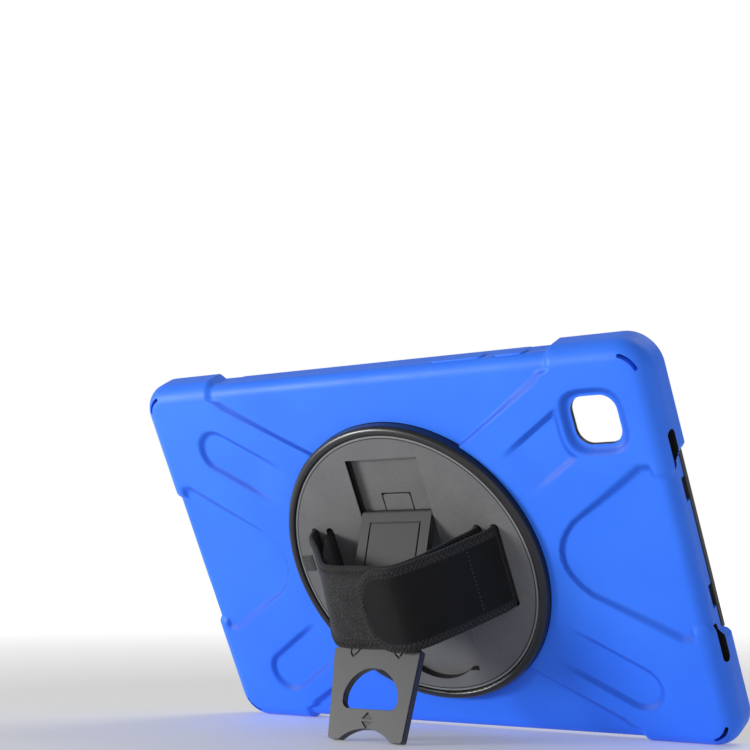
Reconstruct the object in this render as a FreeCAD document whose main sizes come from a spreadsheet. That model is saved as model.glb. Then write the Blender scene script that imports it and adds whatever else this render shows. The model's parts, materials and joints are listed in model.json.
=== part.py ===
import FreeCAD, Part
import math
import os
import Sketcher
from FreeCAD import Placement, Rotation, Vector

# A three-layer tablet case: a front frame and a back shell that hold the tablet, a moulded
# silicone skin round both, and on the back a turning disc with a hand strap and a kickstand.
#
# Every piece is drawn in the case's own frame: x along the long side, y up the back, z out of
# the back, with z = 0 on the front frame's face. One placement, shared by every piece, leans
# the case back until its lower edge and the stand's foot both rest on the table.

doc = FreeCAD.newDocument("tablet_case")
sheet = doc.addObject("Spreadsheet::Sheet", "Sheet")

# Driving dimensions in millimetres and degrees.
driving = {
    # the tablet that the case is made for
    "tablet_length": 247.6,
    "tablet_width": 157.4,
    "tablet_thickness": 7.0,
    "tablet_corner": 7.5,
    "tablet_play": 0.3,
    # front frame
    "glass_depth": 4.2,
    "glass_gap": 0.1,
    "window_length": 230.4,
    "window_width": 137.8,
    "window_corner": 5.0,
    "window_lip": 1.2,
    "bevel_end": 5.8,
    "bevel_side": 7.0,
    "skirt_end": 2.8,
    "skirt_side": 3.1,
    "skirt_depth": 8.4,
    "flange_thickness": 2.4,
    "frame_corner": 9.3,
    "sensor_slot_length": 24.0,
    "sensor_slot_width": 4.7,
    "sensor_slot_offset": 72.95,
    "sensor_dish_end": 3.0,
    "sensor_dish_side": 2.4,
    "sensor_dish_depth": 1.6,
    "latch_from": 70.7,
    "latch_to": 85.5,
    "latch_depth": 6.0,
    "latch_proud": 0.9,
    # back shell
    "shell_wall": 2.2,
    "shell_floor": 1.8,
    "shell_rear_radius": 4.4,
    "layer_gap": 0.2,
    # silicone skin
    "skin_side": 2.2,
    "skin_back": 2.4,
    "skin_rear_radius": 8.0,
    "skin_corner": 14.0,
    "bumper_proud": 2.4,
    "bumper_end_leg": 39.0,
    "bumper_side_leg": 89.5,
    "lip_proud": 0.4,
    "lip_thickness": 1.5,
    "lip_reach": 3.15,
    "lip_end_reach": 2.4,
    "mouth_corner": 7.0,
    "relief_depth": 1.2,
    "finger_width": 21.5,
    "finger_angle": 31.5,
    "finger_near": 78.0,
    "finger_far": 122.0,
    "panel_corner": 14.9,
    "panel_point": 17.1,
    "panel_arch": 7.4,
    "crack_radius": 9.1,
    "crack_width": 1.6,
    "crack_span": 54.0,
    # openings
    "camera_x": 105.6,
    "camera_y": 58.0,
    "camera_hole": 20.6,
    "camera_recess": 27.0,
    "camera_corner": 6.5,
    "port_level": 8.9,
    "port_height": 3.3,
    "speaker_from": 34.0,
    "speaker_to": 50.0,
    "usb_length": 20.0,
    "usb_height": 6.6,
    "jack_offset": 66.0,
    "jack_radius": 3.6,
    "notch_from": 18.3,
    "notch_to": 28.5,
    "notch_depth": 6.0,
    # buttons
    "button_height": 4.6,
    "button_proud": 0.8,
    "button_gap": 0.35,
    "button_level": 7.6,
    "power_from": 64.3,
    "power_to": 78.8,
    "volume_from": 33.0,
    "volume_to": 58.7,
    # turning disc and its collar
    "disc_centre": -2.5,
    "disc_radius": 62.0,
    "disc_face": 5.4,
    "disc_gap": 0.3,
    "cover_thickness": 0.8,
    "cover_overhang": 1.2,
    "well_depth": 0.6,
    "well_gap": 0.6,
    "collar_width": 4.4,
    "collar_height": 6.4,
    "collar_round": 2.2,
    "collar_screw_count": 8.0,
    "collar_screw_inset": 1.45,
    "collar_screw_radius": 0.8,
    "disc_screw_inset": 5.5,
    "disc_screw_radius": 1.0,
    # strap slots in the disc
    "slot_inner": 39.6,
    "slot_outer": 48.2,
    "slot_width": 4.0,
    "slot_half_length": 19.2,
    "bar_depth": 2.3,
    # kickstand
    "leg_width": 37.4,
    "leg_flare": 3.9,
    "leg_foot_flare": 0.6,
    "leg_shoulder": 57.9,
    "leg_reach": 98.0,
    "leg_thickness": 3.6,
    "leg_side_gap": 0.55,
    "leg_angle": 41.0,
    "leg_travel": 24.5,
    "leg_pin_stowed": 48.9,
    "leg_floor_gap": 0.15,
    "recess_floor": 1.0,
    "recess_top_gap": 0.5,
    "recess_end_gap": 2.0,
    "scoop_half_width": 14.5,
    "scoop_depth": 5.0,
    "foot_arch": 5.0,
    "foot_toe": 5.8,
    "finger_hole_width": 28.5,
    "finger_hole_height": 17.2,
    "finger_hole_offset": 13.1,
    "finger_hole_corner": 3.4,
    "pin_radius": 1.0,
    "pin_clearance": 0.06,
    "pin_overhang": 2.5,
    "groove_inset": 5.0,
    "groove_top": 4.0,
    "groove_width": 0.7,
    "groove_depth": 0.5,
    "fang_offset": 34.5,
    # lock tongue in the recess floor
    "tongue_width": 14.4,
    "tongue_top": 33.0,
    "tongue_root": 12.0,
    "tongue_gap": 0.7,
    # hand strap
    "strap_width": 36.8,
    "strap_thickness": 1.6,
    "strap_rise": 39.4,
    "binding_width": 3.6,
    "binding_extra": 0.4,
    "flap_gap": 0.15,
    "hook_thickness": 0.5,
    "facing_thickness": 0.3,
}


class Size:
    """A number together with the sheet expression that gives it."""

    def __init__(self, value, text):
        self.value = value
        self.text = text

    def __add__(self, other):
        other = size_of(other)
        return Size(self.value + other.value, f"({self.text} + {other.text})")

    def __sub__(self, other):
        other = size_of(other)
        return Size(self.value - other.value, f"({self.text} - {other.text})")

    def __mul__(self, other):
        other = size_of(other)
        return Size(self.value * other.value, f"({self.text} * {other.text})")

    def __truediv__(self, other):
        other = size_of(other)
        return Size(self.value / other.value, f"({self.text} / {other.text})")

    def __rsub__(self, other):
        return size_of(other) - self

    def __neg__(self):
        return self * -1

    def __float__(self):
        return float(self.value)

    __radd__ = __add__
    __rmul__ = __mul__


def size_of(number):
    return number if isinstance(number, Size) else Size(float(number), repr(float(number)))


class Sizes:
    """The named cells of the sheet, one Size each."""


s = Sizes()


def name_cell(alias, number):
    row = len(vars(s)) + 1
    sheet.set(f"A{row}", alias)
    sheet.set(f"B{row}", repr(float(number)))
    sheet.setAlias(f"B{row}", alias)
    setattr(s, alias, Size(float(number), f"Sheet.{alias}"))


for alias, number in driving.items():
    name_cell(alias, number)
for alias in ("lean_angle", "table_y", "table_z"):
    name_cell(alias, 0)
doc.recompute()

# Half sizes of each layer, from the tablet outwards.
cavity_x = s.tablet_length / 2 + s.tablet_play
cavity_y = s.tablet_width / 2 + s.tablet_play
wall_x = cavity_x + s.shell_wall
wall_y = cavity_y + s.shell_wall
shell_x = wall_x + s.layer_gap + s.skirt_end
shell_y = wall_y + s.layer_gap + s.skirt_side
strip_x = shell_x + s.skin_side
strip_y = shell_y + s.skin_side
bumper_x = strip_x + s.bumper_proud
bumper_y = strip_y + s.bumper_proud

# Half sizes of the mouth in the skin's front lip.
mouth_x = shell_x - s.lip_end_reach
mouth_y = shell_y - s.lip_reach

# Levels through the thickness.
floor_level = s.glass_depth + s.tablet_thickness + s.glass_gap
shell_rear = floor_level + s.shell_floor
skin_rear = shell_rear + s.skin_back
well_floor = shell_rear - s.well_depth
cover_low = well_floor + s.disc_gap
disc_low = cover_low + s.cover_thickness
disc_high = shell_rear + s.disc_face
recess_low = disc_low + s.recess_floor
pin_level = recess_low + s.leg_floor_gap + s.leg_thickness / 2
collar_high = shell_rear + s.collar_height
lip_rear = s.lip_thickness - s.lip_proud
plate_rear = s.glass_depth - s.glass_gap

# Radii of the turning disc's surround.
cover_radius = s.disc_radius + s.cover_overhang
well_radius = cover_radius + s.well_gap
collar_radius = s.disc_radius + s.collar_width
collar_screw_circle = collar_radius - s.collar_screw_inset
disc_screw_circle = s.disc_radius - s.disc_screw_inset

# Places along y on the disc.
pin_stowed = s.disc_centre + s.leg_pin_stowed
pin_deployed = pin_stowed - s.leg_travel
leg_wide = s.leg_width / 2 + s.leg_flare
leg_foot = s.leg_width / 2 + s.leg_foot_flare
recess_half = s.leg_width / 2 + s.leg_side_gap
recess_top = pin_stowed + s.leg_thickness / 2 + s.recess_top_gap
recess_bottom = pin_stowed - s.leg_reach - s.recess_end_gap


def bind(thing, path, size):
    thing.setExpression(path, size_of(size).text)


def put(thing, x, y, z):
    for axis, size in zip("xyz", (x, y, z)):
        bind(thing, f"Placement.Base.{axis}", size)
    return thing


def block(name, low, high):
    """A box between two corners."""
    thing = doc.addObject("Part::Box", name)
    for side, start, end in zip(("Length", "Width", "Height"), low, high):
        bind(thing, side, size_of(end) - start)
    return put(thing, *low)


def rod(name, radius, start, length, axis="z", angle=360):
    """A cylinder, or a slice of one, that starts at a point and runs along an axis."""
    thing = doc.addObject("Part::Cylinder", name)
    turns = {"x": Rotation(Vector(0, 1, 0), 90), "y": Rotation(Vector(1, 0, 0), -90), "z": Rotation()}
    thing.Placement = Placement(Vector(), turns[axis])
    bind(thing, "Radius", radius)
    bind(thing, "Height", length)
    bind(thing, "Angle", angle)
    return put(thing, *start)


def join(name, things):
    if len(things) == 1:
        return things[0]
    thing = doc.addObject("Part::MultiFuse", name)
    thing.Shapes = things
    return thing


def cut(name, base, tools):
    thing = doc.addObject("Part::Cut", name)
    thing.Base = base
    thing.Tool = join(name + "_tools", tools)
    return thing


def overlap(name, first, second):
    thing = doc.addObject("Part::Common", name)
    thing.Base = first
    thing.Tool = second
    return thing


def gather(name, things):
    """Several separate solids kept as one piece."""
    thing = doc.addObject("Part::Compound", name)
    thing.Links = things
    return thing


def point_sizes(step):
    return size_of(step[0]), size_of(step[1])


def outline(name, steps, upright=False):
    """A closed sketch. Each step is (x, y) for a line to there, or (x, y, (mx, my)) for an arc
    through the third point. Both coordinates of every corner are bound to the sheet."""
    sketch = doc.addObject("Sketcher::SketchObject", name)
    if upright:
        sketch.Placement = Placement(Vector(), Rotation(Vector(1, 0, 0), 90))
    points = [Vector(float(x), float(y), 0) for x, y in map(point_sizes, steps)]
    starts = []
    for index, step in enumerate(steps):
        start, end = points[index - 1], points[index]
        if len(step) == 2:
            sketch.addGeometry(Part.LineSegment(start, end), False)
            starts.append(1)
        else:
            middle = Vector(float(step[2][0]), float(step[2][1]), 0)
            number = sketch.addGeometry(Part.Arc(start, middle, end), False)
            near = (sketch.getPoint(number, 1) - start).Length
            starts.append(1 if near < 1e-6 else 2)
    for index, start in enumerate(starts):
        following = (index + 1) % len(steps)
        sketch.addConstraint(Sketcher.Constraint("Coincident", index, 3 - start, following, starts[following]))
    for index, step in enumerate(steps):
        for kind, size in zip(("DistanceX", "DistanceY"), point_sizes(step)):
            link = Sketcher.Constraint(kind, -1, 1, index, 3 - starts[index], float(size))
            number = sketch.addConstraint(link)
            sketch.setExpression(f"Constraints[{number}]", size.text)
    return sketch


def rounded_steps(half_x, half_y, corner, centre_x=0, centre_y=0):
    """The outline of a rectangle with round corners."""
    half_x, half_y, corner = size_of(half_x), size_of(half_y), size_of(corner)
    steps = []
    for sign_x, sign_y in ((1, 1), (-1, 1), (-1, -1), (1, -1)):
        side = (centre_x + half_x * sign_x, centre_y + (half_y - corner) * sign_y)
        end = (centre_x + (half_x - corner) * sign_x, centre_y + half_y * sign_y)
        inset = corner * (1 - math.sqrt(0.5))
        middle = (centre_x + (half_x - inset) * sign_x, centre_y + (half_y - inset) * sign_y)
        first, last = (side, end) if sign_x == sign_y else (end, side)
        steps += [first, (*last, middle)]
    return steps


def prism(name, steps, low, high):
    """An outline pulled up from one level to another."""
    thing = doc.addObject("Part::Extrusion", name)
    thing.Base = outline(name + "_outline", steps)
    thing.DirMode = "Normal"
    thing.Solid = True
    bind(thing, "LengthFwd", size_of(high) - low)
    bind(thing, "Placement.Base.z", low)
    return thing


def slab(name, half_x, half_y, low, high, corner, rear=None):
    """A plate with round corners in plan and, if asked, a round edge at the rear."""
    body = doc.addObject("PartDesign::Body", name)
    base = body.newObject("PartDesign::AdditiveBox", name + "_block")
    for side, start, end in (("Length", -half_x, half_x), ("Width", -half_y, half_y), ("Height", low, high)):
        bind(base, side, size_of(end) - start)
    put(base, -half_x, -half_y, low)
    doc.recompute()
    upright = [f"Edge{number}" for number, edge in enumerate(base.Shape.Edges, 1)
               if abs(edge.tangentAt(edge.FirstParameter).z) > 0.9]
    corners = body.newObject("PartDesign::Fillet", name + "_corners")
    corners.Base = (base, upright)
    bind(corners, "Radius", corner)
    if rear is not None:
        doc.recompute()
        top = float(size_of(high)) - 1e-4
        edges = [f"Edge{number}" for number, edge in enumerate(corners.Shape.Edges, 1)
                 if edge.BoundBox.ZMin > top]
        round_edge = body.newObject("PartDesign::Fillet", name + "_rear")
        round_edge.Base = (corners, edges)
        bind(round_edge, "Radius", rear)
    return body


def soften(name, base, radius, wanted):
    """Round the edges that a test picks."""
    doc.recompute()
    thing = doc.addObject("Part::Fillet", name)
    thing.Base = base
    size = float(size_of(radius))
    thing.Edges = [(number, size, size) for number, edge in enumerate(base.Shape.Edges, 1) if wanted(edge)]
    return thing


both_sides = (-1, 1)


pieces = []


def finish(label, thing):
    """Name a piece and lean it with the rest of the case."""
    thing.Label = label
    thing.Placement = Placement(Vector(), Rotation(Vector(1, 0, 0), 90))
    bind(thing, "Placement.Rotation.Angle", s.lean_angle + 90)
    bind(thing, "Placement.Base.y", s.table_y)
    bind(thing, "Placement.Base.z", s.table_z)
    pieces.append(thing)


# ---------------------------------------------------------------- openings through the walls


def side_openings(name, inner, reach, extra):
    """The tools that open the four side walls for speakers, ports and buttons."""
    low = s.port_level - s.port_height / 2 - extra
    high = s.port_level + s.port_height / 2 + extra
    tools = []
    for side in both_sides:
        for end in both_sides:
            start, stop = sorted((s.speaker_from * side, s.speaker_to * side), key=float)
            near, far = sorted((inner * end, reach * end), key=float)
            tools.append(block(f"{name}_speaker", (near, start - extra, low), (far, stop + extra, high)))
    half = s.usb_length / 2 + extra
    rise = s.usb_height / 2 + extra
    tools.append(block(name + "_usb", (-reach, -half, s.port_level - rise), (-inner, half, s.port_level + rise)))
    start = (-reach, -s.jack_offset, s.port_level)
    tools.append(rod(name + "_jack", s.jack_radius + extra, start, reach - inner, axis="x"))
    return tools


def button_openings(name, inner, reach, extra):
    low = s.button_level - s.button_height / 2 - extra
    high = s.button_level + s.button_height / 2 + extra
    tools = []
    for start, stop in ((s.power_from, s.power_to), (s.volume_from, s.volume_to)):
        tools.append(block(f"{name}_button", (start - extra, inner, low), (stop + extra, reach, high)))
    return tools


# ---------------------------------------------------------------- the three layers


def front_frame():
    outer = slab("frame_outer", shell_x, shell_y, lip_rear, s.skirt_depth, s.frame_corner)
    face = slab("frame_face", mouth_x, mouth_y, 0, s.glass_depth, s.mouth_corner)
    flange_half = s.bumper_end_leg - 0.3
    flange = block("frame_flange", (-strip_x, -flange_half, 0), (strip_x, flange_half, s.flange_thickness))
    latches = []
    for side in both_sides:
        start, stop = sorted((s.latch_from * side, s.latch_to * side), key=float)
        low = (start + 1, -shell_y - s.latch_proud, lip_rear)
        high = (stop - 1, -shell_y + 1, s.latch_depth - 1)
        latches.append(block("frame_latch", low, high))
    solid = join("frame_solid", [outer, face, flange, *latches])
    skirt_x = wall_x + s.layer_gap
    skirt_y = wall_y + s.layer_gap
    inside = slab("frame_inside", skirt_x, skirt_y, plate_rear, s.skirt_depth + 1, s.tablet_corner + 2)
    window = slab("frame_window", s.window_length / 2, s.window_width / 2, -2, s.glass_depth + 1, s.window_corner)
    bevel = doc.addObject("Part::Loft", "frame_bevel")
    wide = outline("bevel_face", rounded_steps(s.window_length / 2 + s.bevel_end,
                                               s.window_width / 2 + s.bevel_side, s.window_corner + 3))
    tight = outline("bevel_edge", rounded_steps(s.window_length / 2, s.window_width / 2, s.window_corner))
    bind(tight, "Placement.Base.z", plate_rear - s.window_lip)
    bevel.Sections = [wide, tight]
    bevel.Solid = True
    bevel.Ruled = True
    slot = slab("sensor_slot", s.sensor_slot_length / 2, s.sensor_slot_width / 2, -2, s.glass_depth + 1,
                s.sensor_slot_width / 2 - 0.05)
    bind(slot, "Placement.Base.y", s.sensor_slot_offset)
    dish_half = s.sensor_slot_width / 2 + s.sensor_dish_side
    dish = slab("sensor_dish", s.sensor_slot_length / 2 + s.sensor_dish_end, dish_half, -2, s.sensor_dish_depth,
                dish_half - 0.1)
    bind(dish, "Placement.Base.y", s.sensor_slot_offset)
    tools = [inside, window, bevel, slot, dish]
    tools += side_openings("frame", cavity_x, strip_x + 1, 0.4)
    tools += button_openings("frame", cavity_y, shell_y + 1, s.button_gap)
    finish("front_frame", cut("front_frame_cut", solid, tools))


def back_shell():
    lower = slab("shell_lower", shell_x, shell_y, s.skirt_depth + 0.1, shell_rear, s.frame_corner,
                 rear=s.shell_rear_radius)
    upper = slab("shell_upper", wall_x, wall_y, s.glass_depth + s.layer_gap, s.skirt_depth + 1, s.tablet_corner + 2)
    solid = join("shell_solid", [lower, upper])
    cavity = slab("shell_cavity", cavity_x, cavity_y, -1, floor_level, s.tablet_corner + 0.3)
    camera = slab("shell_camera", s.camera_hole / 2, s.camera_hole / 2, floor_level - 1, shell_rear + 1,
                  s.camera_corner)
    put(camera, s.camera_x, s.camera_y, 0)
    well = rod("shell_well", well_radius, (0, s.disc_centre, well_floor), s.well_depth + 1)
    tools = [cavity, camera, well]
    tools += side_openings("shell", cavity_x - 1, shell_x + 1, 0)
    tools += button_openings("shell", cavity_y - 1, shell_y + 1, s.button_gap)
    tools += collar_screw_holes()
    finish("back_shell", cut("back_shell_cut", solid, tools))


def collar_screw_holes():
    """Clearance holes with countersinks in the shell floor, for the screws from the inside."""
    tools = []
    for number in range(int(float(s.collar_screw_count))):
        x, y = on_circle(collar_screw_circle, collar_screw_turn(number))
        tools.append(rod("collar_hole", s.collar_screw_radius + 0.1, (x, y, floor_level - 1), s.shell_floor + 2))
        tools.append(countersink("collar_sink", s.collar_screw_radius, (x, y, floor_level), 0.02))
    return tools


def on_circle(radius, turn):
    """A place on a circle about the disc's centre."""
    return radius * math.cos(turn), s.disc_centre + radius * math.sin(turn)


def collar_screw_turn(number):
    return 2 * math.pi * (number + 0.5) / float(s.collar_screw_count)


def countersink(name, radius, start, extra):
    """A cone that narrows along +z from a screw's head to its shank."""
    thing = doc.addObject("Part::Cone", name)
    bind(thing, "Radius1", radius * 2 + extra)
    bind(thing, "Radius2", radius)
    bind(thing, "Height", radius * 0.75)
    return put(thing, *start)


def relief_panel_side(sign):
    """The sunk panel at one end of the case, between the bumper ends and the collar."""
    edge = (bumper_x + 5) * sign
    corner = (bumper_x - s.panel_corner) * sign
    point = (collar_radius + s.panel_point) * sign
    arch = (collar_radius + s.panel_arch) * sign
    half = s.bumper_end_leg - 0.5
    upper, lower = s.disc_centre + 18, s.disc_centre - 16
    steps = [(edge, -half), (edge, half), (corner, half), (point, upper),
             (point, lower, (arch, s.disc_centre + 1)), (corner, -half)]
    return prism("end_panel", steps, skin_rear - s.relief_depth, skin_rear + 1)


def relief_panel_long(sign):
    """The sunk panel along one long side, which runs in under the collar."""
    edge = (bumper_y + 5) * sign
    leg = s.bumper_side_leg
    outer, inner = (bumper_y - 9.1) * sign, (bumper_y - 13.6) * sign
    hidden = (collar_radius * 0.58, collar_radius * 0.75 * sign)
    steps = [(leg, edge), (leg, outer), (leg - 5.5, inner), hidden,
             (-hidden[0], hidden[1]), (5.5 - leg, inner), (-leg, outer), (-leg, edge)]
    return prism("long_panel", steps, skin_rear - s.relief_depth, skin_rear + 1)


def relief_fingers():
    """Four sunk fingers that point from the disc to the corners."""
    tools = []
    half = s.finger_width / 2
    for number, base in enumerate((1, -1, 1, -1)):
        turn = base * s.finger_angle + (180 if number > 1 else 0)
        steps = [(s.finger_near, half), (s.finger_near, -half), (s.finger_far - half, -half),
                 (s.finger_far - half, half, (s.finger_far, 0))]
        finger = prism("finger", steps, skin_rear - s.relief_depth, skin_rear + 1)
        bind(finger, "Placement.Base.y", s.disc_centre)
        bind(finger, "Placement.Rotation.Angle", turn)
        tools.append(finger)
    return tools


def corner_cracks():
    """The curved slits near each corner, at the rear and in the front lip."""
    tools = []
    for sign_x in both_sides:
        for sign_y in both_sides:
            centre = ((bumper_x - s.skin_corner) * sign_x, (bumper_y - s.skin_corner) * sign_y)
            middle = math.degrees(math.atan2(sign_y, sign_x))
            for low, high in ((shell_rear - 4, skin_rear + 1), (-s.lip_proud - 1, lip_rear)):
                wide = rod("crack_outer", s.crack_radius + s.crack_width / 2, (*centre, low), size_of(high) - low,
                           angle=s.crack_span)
                narrow = rod("crack_inner", s.crack_radius - s.crack_width / 2, (*centre, size_of(low) - 1),
                             size_of(high) - low + 2)
                bind(wide, "Placement.Rotation.Angle", middle - s.crack_span / 2)
                tools.append(cut("crack", wide, [narrow]))
    return tools


def silicone_skin():
    front = -s.lip_proud
    low = slab("skin_strip", strip_x, strip_y, front, skin_rear - s.relief_depth, s.skin_corner - s.bumper_proud,
               rear=s.skin_rear_radius - 0.5)
    high = slab("skin_high", bumper_x, bumper_y, front, skin_rear, s.skin_corner, rear=s.skin_rear_radius)
    gap_side = block("gap_side", (-s.bumper_side_leg, -bumper_y - 1, front - 1),
                     (s.bumper_side_leg, bumper_y + 1, skin_rear - s.relief_depth))
    gap_end = block("gap_end", (-bumper_x - 1, -s.bumper_end_leg, front - 1),
                    (bumper_x + 1, s.bumper_end_leg, skin_rear - s.relief_depth))
    panels = [relief_panel_side(sign) for sign in both_sides] + [relief_panel_long(sign) for sign in both_sides]
    raised = cut("skin_raised", high, [gap_side, gap_end, *panels])
    solid = join("skin_solid", [low, raised])
    inside = slab("skin_inside", shell_x, shell_y, lip_rear, shell_rear, s.frame_corner, rear=s.shell_rear_radius)
    mouth = slab("skin_mouth", mouth_x, mouth_y, front - 1, lip_rear + 1, s.mouth_corner)
    hole = rod("skin_disc_hole", collar_radius + s.layer_gap, (0, s.disc_centre, shell_rear - 1), s.skin_back + 3)
    end_front = block("skin_end_front", (-bumper_x - 1, -s.bumper_end_leg, front - 1),
                      (bumper_x + 1, s.bumper_end_leg, s.flange_thickness))
    tools = [inside, mouth, hole, end_front]
    tools += relief_fingers() + corner_cracks() + camera_recess() + lip_gaps()
    tools += side_openings("skin", shell_x - s.shell_rear_radius, bumper_x + 1, 0.2)
    tools += button_openings("skin", shell_y - 1, bumper_y + 1, s.button_gap)
    finish("silicone_skin", cut("silicone_skin_cut", solid, tools))


def camera_recess():
    half = s.camera_hole / 2
    through = slab("skin_camera", half, half, shell_rear - 1, skin_rear + 2, s.camera_corner)
    put(through, s.camera_x, s.camera_y, 0)
    dish = doc.addObject("Part::Loft", "camera_dish")
    place = (s.camera_x, s.camera_y)
    reach = s.camera_recess / 2 + 0.5
    tight = outline("dish_low", rounded_steps(half + 0.2, half + 0.2, s.camera_corner + 0.2, *place))
    wide = outline("dish_high", rounded_steps(reach, reach, s.camera_corner + 3.5, *place))
    bind(tight, "Placement.Base.z", shell_rear + 0.5)
    bind(wide, "Placement.Base.z", skin_rear + 0.3)
    dish.Sections = [tight, wide]
    dish.Solid = True
    dish.Ruled = True
    return [through, dish]


def lip_gaps():
    """Gaps in the skin's front lip at the latches, and the pry notches at one end."""
    front = -s.lip_proud - 1
    tools = []
    for side in both_sides:
        start, stop = sorted((s.latch_from * side, s.latch_to * side), key=float)
        lip_low = (start - 4, -bumper_y - 1, front)
        tools.append(block("lip_gap", lip_low, (stop + 4, -shell_y + 4, lip_rear - 0.4)))
        tools.append(block("latch_notch", (start, -shell_y - 1.3, front), (stop, -shell_y + 4, s.latch_depth)))
        far, near = sorted((s.bumper_side_leg * side, (s.bumper_side_leg - 12.2) * side), key=float)
        tools.append(block("lip_gap_upper", (far, shell_y - 4, front), (near, bumper_y + 1, lip_rear + 0.3)))
        low, high = sorted((s.notch_from * side, s.notch_to * side), key=float)
        tools.append(block("pry_notch", (shell_x - 1, low, front), (bumper_x + 1, high, s.notch_depth)))
    return tools


# ---------------------------------------------------------------- buttons


def button(label, start, stop):
    low = s.button_level - s.button_height / 2
    high = s.button_level + s.button_height / 2
    inner = cavity_y + 1.3
    outer = strip_y + s.button_proud
    shank = block(label + "_shank", (start, inner, low), (stop, outer, high))
    ends = float(s.button_height) / 2 - 0.1
    pill = soften(label + "_pill", shank, ends, lambda edge: abs(edge.tangentAt(edge.FirstParameter).y) > 0.9)
    face = float(outer) - 1e-4
    finish(label, soften(label + "_round", pill, 0.5, lambda edge: edge.BoundBox.YMin > face))


# ---------------------------------------------------------------- turning disc


def swivel_collar():
    """A ring screwed to the back shell. Its lip holds the disc's cover down."""
    inner = s.disc_radius + s.disc_gap
    foot_inner = cover_radius + s.disc_gap
    lip_low = disc_low + s.disc_gap + 0.1
    radius = collar_radius
    bend = s.collar_round
    inset = bend * (1 - math.sqrt(0.5))
    steps = [(foot_inner, shell_rear), (radius, shell_rear), (radius, collar_high - bend),
             (radius - bend, collar_high, (radius - inset, collar_high - inset)), (inner + 1.0, collar_high),
             (inner, collar_high - 1.0, (inner + 0.29, collar_high - 0.29)), (inner, lip_low), (foot_inner, lip_low)]
    ring = doc.addObject("Part::Revolution", "collar_ring")
    ring.Source = outline("collar_section", steps, upright=True)
    ring.Axis = Vector(0, 0, 1)
    ring.Base = Vector(0, 0, 0)
    ring.Angle = 360
    ring.Solid = True
    bind(ring, "Placement.Base.y", s.disc_centre)
    tools = []
    for number in range(int(float(s.collar_screw_count))):
        x, y = on_circle(collar_screw_circle, collar_screw_turn(number))
        tools.append(rod("collar_pilot", s.collar_screw_radius, (x, y, shell_rear - 1), 4.6))
    finish("swivel_collar", cut("swivel_collar_cut", ring, tools))


def screw(name, radius, place, low, length):
    """A countersunk screw that points along +z."""
    x, y = place
    head = countersink(name + "_head", radius, (x, y, low), 0)
    shank = rod(name + "_shank", radius, (x, y, low + radius / 2), size_of(length) - radius / 2)
    socket = rod(name + "_socket", radius * 0.7, (x, y, low - 0.5), 0.8)
    return cut(name + "_screw", join(name + "_solid", [head, shank]), [socket])


def collar_screws():
    length = s.shell_floor + 3.4
    screws = []
    for number in range(int(float(s.collar_screw_count))):
        place = on_circle(collar_screw_circle, collar_screw_turn(number))
        screws.append(screw("collar", s.collar_screw_radius, place, floor_level, length))
    finish("collar_screws", gather("collar_screw_set", screws))


disc_screw_turns = [math.radians(degrees) for degrees in (45, 75, 105, 135, 225, 245, 295, 315)]


def recess_steps():
    """The outline of the stand's recess. It widens as the leg does, and has a finger scoop at
    its lower end."""
    scoop = s.scoop_half_width
    foot = leg_foot + s.leg_side_gap
    wide = leg_wide + s.leg_side_gap
    shoulder = pin_stowed - s.leg_shoulder + 0.8
    return [(foot, recess_bottom), (wide, shoulder - 2.4), (recess_half, shoulder), (recess_half, recess_top),
            (-recess_half, recess_top), (-recess_half, shoulder), (-wide, shoulder - 2.4), (-foot, recess_bottom),
            (-scoop, recess_bottom), (scoop, recess_bottom, (0, recess_bottom - s.scoop_depth))]


def tongue_window(name, low, high, extra):
    half = s.tongue_width / 2 + extra
    top = s.disc_centre + s.tongue_top + extra
    return block(name, (-half, s.disc_centre + s.tongue_root - extra, low), (half, top, high))


def slot_steps(centre_x):
    half_y = s.slot_half_length
    return rounded_steps(s.slot_width / 2, half_y, s.slot_width / 2 - 0.05, centre_x, s.disc_centre)


def disc_plate():
    plate = rod("plate_round", s.disc_radius, (0, s.disc_centre, disc_low), disc_high - disc_low)
    tools = [prism("stand_recess", recess_steps(), recess_low, disc_high + 1)]
    tools.append(tongue_window("tongue_hole", disc_low - 1, recess_low + 1, s.tongue_gap))
    for side in both_sides:
        for place in (s.slot_inner, s.slot_outer):
            tools.append(prism("strap_slot", slot_steps(place * side), disc_low - 1, disc_high + 1))
        far = s.slot_outer + s.slot_width / 2
        near = s.slot_inner - s.slot_width / 2
        start, stop = sorted((near * side, far * side), key=float)
        length = s.slot_half_length
        tools.append(block("under_bar", (start, s.disc_centre - length, disc_low - 1),
                           (stop, s.disc_centre + length, disc_high - s.bar_depth)))
    play = s.pin_radius + s.disc_gap
    reach = recess_half + s.pin_overhang + s.disc_gap
    tools.append(block("pin_track", (-reach, pin_deployed - play, disc_low - 1),
                       (reach, pin_stowed + play, pin_level + play)))
    for turn in disc_screw_turns:
        x, y = on_circle(disc_screw_circle, turn)
        tools.append(rod("disc_pilot", s.disc_screw_radius, (x, y, disc_low - 1), 4.4))
    solid = cut("disc_plate_cut", plate, tools)
    floor_plate = prism("recess_floor_plate", recess_steps(), disc_low, recess_low)
    opened = tongue_window("floor_tongue_hole", disc_low - 1, recess_low + 1, s.tongue_gap)
    finish("disc_plate", join("disc_plate_all", [solid, cut("recess_floor_cut", floor_plate, [opened])]))


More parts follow.
